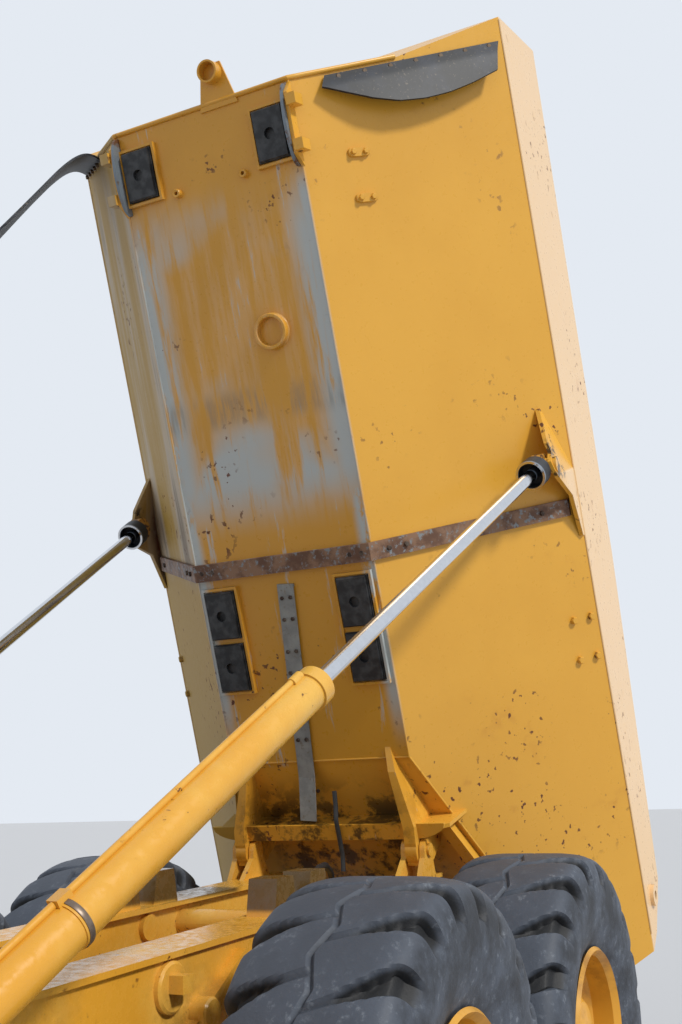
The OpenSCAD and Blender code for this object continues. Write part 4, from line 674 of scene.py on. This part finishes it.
# Wear plates guard the guides beside the front pads: steel straps cut to a shallow curve, bare and blue-grey
# with rust in patches, each held to its guide by two hex bolts.
strap_steel = Finish("strap_steel", roughness=0.45, metallic=0.3)
strap_cloud = strap_steel.noise(12, 6, 0.7)
strap_rusty = strap_steel.step(strap_cloud, 0.5, 0.62)
strap_steel.colour(strap_steel.blend(strap_rusty, srgb(118, 128, 136), srgb(104, 72, 50)))
strap_steel.bump(strap_cloud, 0.002, 0.5)


def strap(hand, count=28):
    """A plate 17 mm thick and 425 mm long beside the guide: it reaches below the belly by 20 mm plus a half
    ellipse 70 mm high over its length."""
    start, long, shallow, arch = 3.645, 0.425, 0.020, 0.070
    inner, outer = 0.5235, 0.5405
    u = np.linspace(0, 1, count)
    run = start + long * u
    deep = shallow + arch * np.sqrt(np.clip(1 - (2 * u - 1) ** 2, 0, 1))
    ring = [(inner, 0.0), (outer, 0.0), (outer, 1.0), (inner, 1.0)]
    points = np.stack([on_body(run, hand * w, belly_n - 0.001 - deep * k) for w, k in ring], axis=1)
    end = 4 * (count - 1)
    caps = np.array([[0, 1, 2, 3], [end + 3, end + 2, end + 1, end]])
    faces = np.concatenate([grid_faces(count, 4, round_columns=True), caps])
    return points.reshape(-1, 3), faces if hand > 0 else faces[:, ::-1]


surface("guide_straps", *joined([strap(1), strap(-1)]), strap_steel.material, "bed", "rusty_steel", smooth=False)
guide_face, guide_deep = 0.5615, 0.045
guide_bolts = [hex_heads([on_body(bs, sign * guide_face, belly_n - guide_deep)], (0, sign, 0), 0.030, 0.022)
               for bs in (3.72, 3.985) for sign in (1, -1)]
surface("guide_bolts", *joined(guide_bolts), nut_steel.material, "bed", "rusty_steel", smooth=False)

# Rubber flaps hang from the front edges of the chines, bolted on by their root: worn reinforced sheet, 12 mm
# thick. The left one droops a quarter of a metre, the right one hangs forward in a long curve.
flap_rubber = Finish("flap_rubber", roughness=0.55)
flap_cloud = flap_rubber.noise(6, 6, 0.66)
flap_fine = flap_rubber.noise(60, 4, 0.6)
flap_look = flap_rubber.blend(flap_rubber.step(flap_cloud, 0.42, 0.72), srgb(17, 21, 28), srgb(36, 42, 54))
flap_dust = flap_rubber.times(flap_rubber.step(flap_fine, 0.6, 0.7), 0.5)
flap_rubber.colour(flap_rubber.blend(flap_dust, flap_look, srgb(120, 110, 96)))
flap_rubber.bump(flap_cloud, 0.004, 0.4)
flap_rubber.bump(flap_fine, 0.0008, 0.4)
flap_columns, flap_rows, flap_thick = 40, 36, 0.012
root_back, root_sunk = 0.03, 0.006


def smoothed(knots, count):
    """A curve of count points through knots: straight runs by their length, averaged with neighbours."""
    knots = np.asarray(knots, float)
    run = np.concatenate([[0], np.cumsum(np.linalg.norm(np.diff(knots, axis=0), axis=1))])
    u = np.linspace(0, run[-1], count)
    line = np.stack([np.interp(u, run, knots[:, k]) for k in range(knots.shape[1])], axis=1)
    for _ in range(6):
        line[1:-1] = (line[:-2] + 2 * line[1:-1] + line[2:]) / 4
    return line


def flap_sheet(sign, first, last, droop, wave, hang):
    """A sheet of straight lines along the lip, from first to last metres off the middle. The droop's points
    (forward, up) from the lip are the same at each line, cut to the share of it that hang gives across the
    sheet, plus a slow wave that grows downwards. A second layer lies 12 mm behind along the sheet's normal,
    and a rim joins the two. Its third result is the front's area, from the cross product of the diagonals."""
    line = smoothed(droop, flap_rows)
    off = np.linspace(first, last, flap_columns)
    lip_n = belly_n + (off - belly_half) * chine_slope
    root = on_body(front_s - root_back + head_lean * (lip_n - belly_n), off * sign, lip_n - root_sunk)
    share = np.linspace(0, 1, flap_rows)[:, None]
    cut = share * np.interp(np.linspace(0, 1, flap_columns), np.linspace(0, 1, len(hang)), hang)[None]
    ahead_of, above = (np.interp(cut, share[:, 0], line[:, k]) for k in (0, 1))
    sway = wave * share ** 2 * np.sin(np.linspace(0, 2.2 * math.pi, flap_columns))[None]
    front = root[None] + np.stack([ahead_of + sway, 0 * sway, above], axis=-1)
    d_side, d_down = np.gradient(front, axis=1), np.gradient(front, axis=0)
    normal = np.cross(d_side, d_down)
    normal /= np.linalg.norm(normal, axis=-1, keepdims=True)
    back = front - sign * normal * flap_thick
    ring = np.concatenate([front, back[::-1]], axis=0)
    faces = grid_faces(2 * flap_rows, flap_columns, round_rows=True)
    ends = []
    for edge in (0, flap_columns - 1):
        k = np.arange(flap_rows - 1)
        a, b = k * flap_columns + edge, (2 * flap_rows - 1 - k) * flap_columns + edge
        quad = np.stack([a, a + flap_columns, b - flap_columns, b], axis=1)
        ends.append(quad if (edge == 0) == (sign > 0) else quad[:, ::-1])
    faces = faces if sign > 0 else faces[:, ::-1]
    along, across = front[1:, 1:] - front[:-1, :-1], front[1:, :-1] - front[:-1, 1:]
    area = float(np.linalg.norm(np.cross(along, across), axis=-1).sum() / 2)
    return ring.reshape(-1, 3), np.concatenate([faces, *ends]), area


flaps = {"left": (1, 0.690, 1.425, [(0.0, 0.0), (0.030, -0.090), (0.050, -0.285)], 0.010,
                  [0.30, 0.56, 0.80, 0.96, 1.0, 0.97, 0.88, 0.74]),
         "right": (-1, 0.975, 1.425, [(0.0, 0.0), (0.110, -0.010), (0.230, -0.110), (0.350, -0.250),
                                      (0.580, -0.560), (0.790, -0.845)], 0.012, [0.95, 1.0, 0.98, 1.0, 0.94])}
for hand, (sign, first, last, droop, wave, hang) in flaps.items():
    length = float(np.sum(np.linalg.norm(np.diff(smoothed(droop, flap_rows), axis=0), axis=1)))
    points, faces, area = flap_sheet(sign, first, last, droop, wave, hang)
    flap = surface(f"flap_{hand}", points, faces, flap_rubber.material, "bed", "black_rubber")
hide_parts("bed_flaps")

# Plain steel hex bolts hold each flap by its root, in one row straight through the rubber into the chine: seven
# in the wide left flap and five in the right one.
bolts_back, bolts_in = 0.045, 0.05
bolt_rows = []
for sign, first, last, *_ in flaps.values():
    off = np.linspace(first + bolts_in, last - bolts_in, 7 if sign > 0 else 5)
    lip_n = belly_n + (off - belly_half) * chine_slope
    outwards = np.array([math.sin(tip), sign * chine_slope, -math.cos(tip)])
    feet = on_body(front_s - bolts_back + head_lean * (lip_n - belly_n), sign * off, lip_n - root_sunk)
    feet = feet + root_sunk * outwards / np.linalg.norm(outwards)
    bolt_rows.append(hex_heads(feet, outwards, 0.026, 0.020))
surface("flap_bolts", *joined(bolt_rows), nut_steel.material, "bed", "rusty_steel", smooth=False)

# The strip under the body is rusty flat bar with grey scuffs. Below it a zinc-plated steel cover guards the
# cables down to the rear cross member.
strip = Finish("rusty_strip", roughness=0.6)
strip_place = strip.mapped(strip.place, location=hinge, rotation=(0, -tip, 0), kind="TEXTURE")
strip_s = strip.axes(strip_place)["X"]
strip_cloud = strip.noise(9, 6, 0.65)
strip_fine = strip.noise(34, 5, 0.65)
rusty_look = strip.blend(strip.step(strip_cloud, 0.4, 0.6), srgb(96, 66, 48), srgb(136, 104, 80))
rusty_look = strip.blend(strip.step(strip_fine, 0.54, 0.64), rusty_look, srgb(128, 134, 138))
zinc_look = strip.blend(strip.step(strip_cloud, 0.35, 0.65), srgb(150, 152, 148), srgb(126, 128, 126))
zinc_look = strip.blend(strip.times(strip.step(strip_fine, 0.58, 0.68), 0.7), zinc_look, srgb(112, 96, 78))
strip.colour(strip.blend(strip.step(strip_s, 1.525, 1.535), zinc_look, rusty_look))
strip.bump(strip_cloud, 0.003, 0.5)
strip.bump(strip_fine, 0.001, 0.4)
dress(["bed_strips"], strip)

# Hex bolts in pairs hold the cable cover, down its slanted middle line, and single ones hold the strip at its
# bends and ends. They are plain steel, brown with rust.
bolt_steel = Finish("bolt_steel", roughness=0.55, metallic=0.4)
bolt_rusty = bolt_steel.step(bolt_steel.noise(20, 4), 0.4, 0.6)
bolt_steel.colour(bolt_steel.blend(bolt_rusty, srgb(96, 84, 74), srgb(58, 44, 36)))
bolt_steel.bump(bolt_steel.noise(160, 3), 0.0004, 0.4)
cover_n, strip_proud, strip_mid, pair_half = 0.041, 0.022, 1.612, 0.026
cover_top, cover_y, cover_slant = 1.495, 0.005, 0.0787
pairs = [(cs, cover_y + (cs - cover_top) * cover_slant + dy)
         for cs in (1.42, 1.30, 1.12, 1.00, 0.62, 0.40, 0.30) for dy in (-pair_half, pair_half)]
cover_bolts = [hex_heads([on_body(bs, by, cover_n + max(kink_s - bs, 0) * chute_slope + 0.001)], down,
                         0.020, 0.010) for bs, by in pairs]
belly_down = [hex_heads([on_body(strip_mid, by, belly_n - strip_proud + 0.001)], down, 0.026, 0.014)
              for by in (-0.50, -0.43, 0.43, 0.50)]
chine_down = [hex_heads([on_chine(strip_mid, by, strip_proud - 0.001, h)], chine_out * (1, h, 1), 0.026, 0.014)
              for by in (0.61, 0.68, 1.26) for h in (1, -1)]
surface("strip_bolts", *joined(cover_bolts + belly_down + chine_down), bolt_steel.material, "bed", "rusty_steel",
        smooth=False)

# Rest pads are moulded black rubber blocks bonded into steel trays under the body. They are scuffed grey where
# they sit on the rails.
pad = Finish("pad_rubber", roughness=0.5)
pad.colour(pad.blend(pad.step(pad.noise(18, 5), 0.4, 0.66), srgb(22, 24, 27), srgb(58, 60, 62)))
pad.bump(pad.noise(90, 4), 0.001, 0.4)
dress(["bed_pads"], pad)

# Lift and steering rods are hard-chromed. Near its eye each lift rod wears a deep cup: black rubber inside,
# with a grey-blue steel rim, and beyond it the eye is painted.
rod_base, rod_way = (0.6896, 0.660, 0.858), (-0.83337, 0.13165, 0.53681)
chrome = Finish("rod_chrome", roughness=0.12)
cup_edge, rim_edge, eye_edge = (5.0122, 5.0128), (5.026, 5.024), (5.105, 5.112)
where = chrome.axes()
mirrored = (where["X"], chrome.sum("ABSOLUTE", where["Y"]), where["Z"])
reach = 0.0
for value, base_value, share in zip(mirrored, rod_base, rod_way):
    reach = chrome.sum("ADD", chrome.times(chrome.sum("SUBTRACT", value, base_value), share), reach)
high_up = chrome.step(where["Z"], 2.0, 2.01)
in_cup = chrome.times(chrome.step(reach, *cup_edge), high_up)
in_rim = chrome.times(chrome.step(reach, *rim_edge), in_cup)
in_eye = chrome.times(chrome.step(reach, *eye_edge), high_up)
rod_cloud = chrome.noise(40, 4)
rod_look = chrome.blend(rod_cloud, srgb(226, 228, 231), srgb(204, 206, 210))
rod_look = chrome.blend(in_cup, rod_look, chrome.blend(rod_cloud, srgb(20, 22, 26), srgb(46, 50, 56)))
rod_look = chrome.blend(in_rim, rod_look, chrome.blend(rod_cloud, srgb(96, 108, 122), srgb(128, 138, 150)))
eye_look = chrome.blend(chrome.step(rod_cloud, 0.45, 0.6), srgb(196, 142, 52), srgb(86, 60, 40))
chrome.colour(chrome.blend(in_eye, rod_look, eye_look))
chrome.put(chrome.shader.inputs["Metallic"], chrome.sum("SUBTRACT", 1.0, in_cup))
chrome.gloss(chrome.sum("ADD", chrome.times(in_cup, 0.4), 0.12))
dress([f"{part}_rod_{hand}" for part in ("lift", "steer") for hand in hand_sign], chrome)

# A zinc-plated band clamp, dull and stained, holds each lift cylinder's pipe to its barrel, over the barrel's
# own band. Eight hex bolts in the barrel's paint hold the gland.
zinc = Finish("zinc_clamp", roughness=0.4, metallic=0.6)
zinc.colour(zinc.blend(zinc.noise(60, 4), srgb(140, 128, 116), srgb(96, 76, 62)))
zinc.bump(zinc.noise(240, 2), 0.0003, 0.3)
band_radius, band_run, band_half, band_sides = 0.0755, 1.318, 0.010, 56
gland_run, gland_circle, gland_count = 2.679, 0.058, 8
band = [(-0.001, -band_half), (0.002, -band_half), (0.003, -band_half + 0.002), (0.003, band_half - 0.002),
        (0.002, band_half), (-0.001, band_half)]
ring_angle = np.arange(gland_count) * 2 * math.pi / gland_count
for hand, sign in hand_sign.items():
    foot, way = np.array(rod_base) * (1, sign, 1), np.array(rod_way) * (1, sign, 1)
    band_points, _ = turned([(band_radius + r, h) for r, h in band], foot + band_run * way, way, band_sides)
    ring_a = np.cross(way, (0, 0, 1)) / np.linalg.norm(np.cross(way, (0, 0, 1)))
    circle = np.cos(ring_angle)[:, None] * ring_a + np.sin(ring_angle)[:, None] * np.cross(way, ring_a)
    feet = foot + gland_run * way + gland_circle * circle
    surface(f"gland_bolts_{hand}", *hex_heads(feet, way, 0.019, 0.013), paint.material,
            f"lift_barrel_{hand}", "yellow_paint", smooth=False)
    surface(f"lift_clamp_{hand}", band_points, grid_faces(len(band), band_sides, True, True), zinc.material,
            f"lift_barrel_{hand}", "rod_steel")

# The tractor: its frame and axle housing are welded, its cab, roof, door, mudguards, tanks and bonnet pressed
# from sheet. All are sprayed in cleaner yellow paint, muddy low down.
tractor = Finish("tractor_paint", roughness=0.3)
tractor_patches = tractor.noise(1.3, 5)
tractor_fine = tractor.noise(34, 5)
tractor_base = tractor.blend(tractor.step(tractor_patches, 0.35, 0.7), srgb(220, 160, 52), srgb(208, 146, 44))
tractor_mud = tractor.times(tractor.step(tractor.axes()["Z"], 1.3, 0.5),
                            tractor.step(tractor.noise(4, 6), 0.35, 0.7), 0.7)
tractor_base = tractor.blend(tractor_mud, tractor_base, srgb(104, 90, 70))
tractor.colour(tractor.blend(tractor.step(tractor_fine, 0.69, 0.73), tractor_base, frame_rust))
tractor.gloss(tractor.sum("ADD", tractor.times(tractor_fine, 0.25), 0.18))
tractor.bump(tractor_patches, 0.004, 0.2)
dress(["tractor_frame", "front_axle", "cab", "cab_roof", "fenders", "tanks", "hood", "door"], tractor)

# Each side of the bonnet has two banks of louvres that let the engine's heat out. They are curved lips pressed
# out of the same steel sheet and painted with it.
bonnet_low, bonnet_half, bonnet_lean = 1.24, 0.700, 0.0476
louvre_z = np.arange(1.42, 1.86, 0.044)


def louvre(side_of, x_mid, z, length=0.44, proud=0.014, drop=0.030, columns=26, rows=8):
    """A pressed lip on the bonnet's side: it stands proud by a half sine to the power 0.35 along it, times a
    quarter sine down it, and is closed by a flat back 3 mm inside the sheet."""
    uu, vv = np.meshgrid(np.linspace(0, 1, columns), np.linspace(0, 1, rows), indexing="ij")
    stand = proud * np.sin(np.pi * np.clip(uu, 1e-9, 1 - 1e-9)) ** 0.35 * np.sin(vv * math.pi / 2)
    zz = z - drop * vv
    face = bonnet_half - (zz - bonnet_low) * bonnet_lean
    outer = np.stack([x_mid + (uu - 0.5) * length, side_of * (face + stand), zz], axis=-1)
    inner = np.stack([outer[..., 0], side_of * (face - 0.003), zz], axis=-1)
    ring = np.concatenate([outer, inner[:, ::-1]], axis=1)
    return ring.reshape(-1, 3), grid_faces(columns, 2 * rows, round_columns=True)


lips = [louvre(side_of, x_mid, z) for side_of in (1, -1) for x_mid in (3.56, 4.14) for z in louvre_z]
surface("hood_louvres", *joined(lips), tractor.material, "hood", "yellow_paint")

# Grab handles: round bar bent to a flat arch, welded on at both feet and painted black. Two stand on top of the
# bonnet near its front, and one on the door.
handle_steel = Finish("handle_black", roughness=0.4)
handle_steel.colour(handle_steel.blend(handle_steel.noise(30, 4), srgb(26, 27, 29), srgb(52, 52, 54)))
handle_steel.bump(handle_steel.noise(160, 2), 0.0004, 0.3)


def grip(foot_a, foot_b, lift, count=28):
    """A handle's path: evenly spaced points on the straight line between its feet, lifted off it by a sine
    arch that is cut off flat."""
    t = np.linspace(0, 1, count)[:, None]
    path = (1 - t) * np.asarray(foot_a, float) + t * np.asarray(foot_b, float)
    arch = np.clip(np.sin(np.linspace(0, math.pi, count)) * 2.2, 0, 1)[:, None]
    return path + arch * np.asarray(lift, float)


handle_x, door_face = 1.835, 0.779
door_grip = grip((handle_x, door_face, 1.86), (handle_x, door_face, 2.05), (0, 0.036, 0))
surface("door_handle", *tube([door_grip], 0.009, 12), handle_steel.material, "door", "dark_paint")
bonnet_grips = [grip((4.55, off, 2.082), (4.68, off, 2.079), (0, 0, 0.05)) for off in (-0.5, 0.5)]
surface("hood_grips", *tube(bonnet_grips, 0.008, 12), handle_steel.material, "hood", "dark_paint")

# A wiper lies on the windscreen: a pressed steel arm on a round pivot below the glass, and a rubber blade that
# follows it.
glass_low, glass_x, glass_lean = 2.136, 3.033, 0.1733


def on_glass(y, z, off):
    """A point off metres ahead of the windscreen at a height and a side offset."""
    y, z, off = np.broadcast_arrays(*(np.asarray(v, float) for v in (y, z, off)))
    return np.stack([glass_x - (z - glass_low) * glass_lean + off, y, z], axis=-1)


arm_path = on_glass(np.linspace(0.02, -0.20, 14), np.linspace(2.10, 2.52, 14), np.linspace(0.030, 0.020, 14))
blade_path = on_glass(np.linspace(-0.06, -0.30, 20), np.linspace(2.24, 2.78, 20), 0.009)
knob = [(0, 0.03), (0.022, 0.03), (0.026, 0.0), (0.026, -0.02), (0, -0.02)]
wiper = [tube([arm_path], 0.007, 8), tube([blade_path], 0.008, 8), turned(knob, (3.036, 0.02, 2.10), (1, 0, 0))]
surface("wiper", *joined(wiper), handle_steel.material, "tractor", "dark_paint")

# Mirror glass: a slightly domed pane with round corners, silvered behind and set into the rear face of each
# mirror head.
mirror_glass = Finish("mirror_glass", roughness=0.04, metallic=1.0)
mirror_glass.colour(mirror_glass.blend(mirror_glass.noise(6, 3), srgb(206, 212, 216), srgb(184, 190, 196)))
mirror_glass.bump(mirror_glass.noise(3, 1), 0.001, 0.1)
head_y, head_z, head_face, pane_wide, pane_high = 1.355, 2.595, 3.057, 0.100, 0.200


def mirror_pane(side_of, rows=14, turns=56):
    """Rings of a superellipse of power 6, from the middle out, domed 4 mm by the square of the share of the way
    out, with a flat back 2 mm inside the head's face."""
    r, a = np.meshgrid(np.linspace(0, 1, rows), np.arange(turns) * 2 * math.pi / turns, indexing="ij")
    squared = (np.abs(np.cos(a)) ** 6 + np.abs(np.sin(a)) ** 6) ** (-1 / 6)
    yy = side_of * head_y + pane_wide * r * squared * np.cos(a)
    zz = head_z + pane_high * r * squared * np.sin(a)
    dome = np.stack([head_face - 0.0035 - 0.004 * (1 - (r * 0.96) ** 2), yy, zz], axis=-1)
    back = dome[::-1] * (0, 1, 1) + (head_face + 0.002, 0, 0)
    return np.concatenate([dome, back]).reshape(-1, 3), grid_faces(2 * rows, turns, round_columns=True)


surface("mirror_panes", *joined([mirror_pane(1), mirror_pane(-1)]), mirror_glass.material, "tractor", "glass")

# Dark parts: ladders, mirror arms and heads, grille, and the cab's dash, wheel and seat frame. They are tube,
# pressed sheet and moulded trim, all in satin black.
black = Finish("dark_paint", roughness=0.45)
black.colour(black.blend(black.noise(12, 5), srgb(30, 31, 33), srgb(52, 52, 52)))
black.bump(black.noise(80, 3), 0.0008, 0.3)
dress(["steps", "mirrors", "grille", "cab_inside"], black)

# The driver's seat: two foam cushions, one to sit on and one to lean on, sewn into woven cloth and clipped to
# the plain seat frame.
seat_cloth = Finish("seat_cloth", roughness=0.9)
cloth_grain = seat_cloth.noise(420, 2, 0.5, stretch=(1, 3, 1))
seat_cloth.colour(seat_cloth.blend(cloth_grain, srgb(46, 48, 54), srgb(74, 76, 82)))
seat_cloth.bump(cloth_grain, 0.0008, 0.5)


def cushion(middle, half, lean, flat_at, rows=40, turns=72):
    """A crowned pad, leant about the y axis: half lengths times the cosine of the height angle to the power 0.5
    and the cosine or sine of the turn to the power 0.45, and the height angle's sine to the power 0.8. Its
    sides pull in by 2 percent with four times the turn, its underside is cut flat, and a piped seam runs round
    its widest line."""
    v, a = np.meshgrid(np.linspace(-math.pi / 2, math.pi / 2, rows), np.arange(turns) * 2 * math.pi / turns,
                       indexing="ij")

    def power(x, p):
        """x to the power p with x's own sign."""
        return np.sign(x) * np.abs(x) ** p

    waist = 1 - 0.02 * np.cos(4 * a) * np.cos(v)
    seam = 1 + 0.018 * np.exp(-((v - 0.1) / 0.05) ** 2)
    x = half[0] * power(np.cos(v), 0.5) * power(np.cos(a), 0.45) * waist * seam
    y_ = half[1] * power(np.cos(v), 0.5) * power(np.sin(a), 0.45) * waist * seam
    z = np.maximum(half[2] * power(np.sin(v), 0.8), flat_at)
    turned_x = x * math.cos(lean) + z * math.sin(lean)
    turned_z = z * math.cos(lean) - x * math.sin(lean)
    points = np.stack([turned_x, y_, turned_z], axis=-1) + np.asarray(middle)
    return points.reshape(-1, 3), grid_faces(rows, turns, round_columns=True)


back_lean, flat_under = math.radians(96) - math.pi, -0.035
for name, middle, half, lean in (("seat_cushion", (2.115, 0, 2.080), (0.235, 0.25, 0.055), 0.0),
                                 ("seat_back", (2.005, 0, 2.420), (0.255, 0.22, 0.055), back_lean)):
    pillow = surface(name, *cushion(middle, half, lean, flat_under), seat_cloth.material, "tractor", "cab_plastic")

# Lamp bezels: bright rings pressed from steel sheet and plated. One is clipped round the lens of each head lamp,
# where it stands on the bumper.
bezel = Finish("lamp_bezel", roughness=0.2, metallic=0.9)
bezel.colour(bezel.blend(bezel.noise(24, 3), srgb(190, 192, 194), srgb(150, 152, 154)))
ring_profile = [(0.066, 0.0005), (0.070, 0.008), (0.078, 0.010), (0.0815, 0.004), (0.0815, -0.022),
                (0.0755, -0.022), (0.0752, 0.0), (0.066, 0.0005)]
lamp_x, lamp_y, lamp_z = 5.045, 0.720, 1.180
rings = [turned(ring_profile, (lamp_x, sign * lamp_y, lamp_z), (1, 0, 0), 48) for sign in (1, -1)]
surface("lamp_bezels", *joined(rings), bezel.material, "tractor", "dark_paint")

# The engine is one cast iron block, painted grey and stained. The exhaust is steel tube, bent and welded, brown
# and grey from its heat.
iron = Finish("engine_iron", roughness=0.6)
iron.colour(iron.blend(iron.noise(8, 6), srgb(78, 80, 82), srgb(52, 50, 48)))
iron.bump(iron.noise(60, 4), 0.002, 0.5)
dress(["engine"], iron)
stack = Finish("exhaust_steel", roughness=0.45, metallic=0.8)
stack.colour(stack.blend(stack.noise(6, 6), srgb(110, 100, 92), srgb(76, 62, 52)))
stack.bump(stack.noise(50, 4), 0.001, 0.3)
dress(["exhaust"], stack)

# Lenses of the head lamps are clear moulded plastic, pale from the reflector behind. The windows are tinted
# safety glass, set in the cab and the door.
clear = Finish("clear_lens", roughness=0.08)
clear.colour(clear.blend(clear.noise(120, 1), srgb(225, 228, 230), srgb(198, 202, 206)))
clear.bump(clear.noise(260, 0), 0.001, 0.3)
dress(["head_lamps"], clear)
pane = Finish("window_glass", roughness=0.03)
pane.colour(pane.blend(pane.noise(2, 2), srgb(182, 206, 208), srgb(172, 196, 200)))
pane.shader.inputs["Transmission Weight"].default_value = 0.9
dress(["cab_glass", "door_glass"], pane)
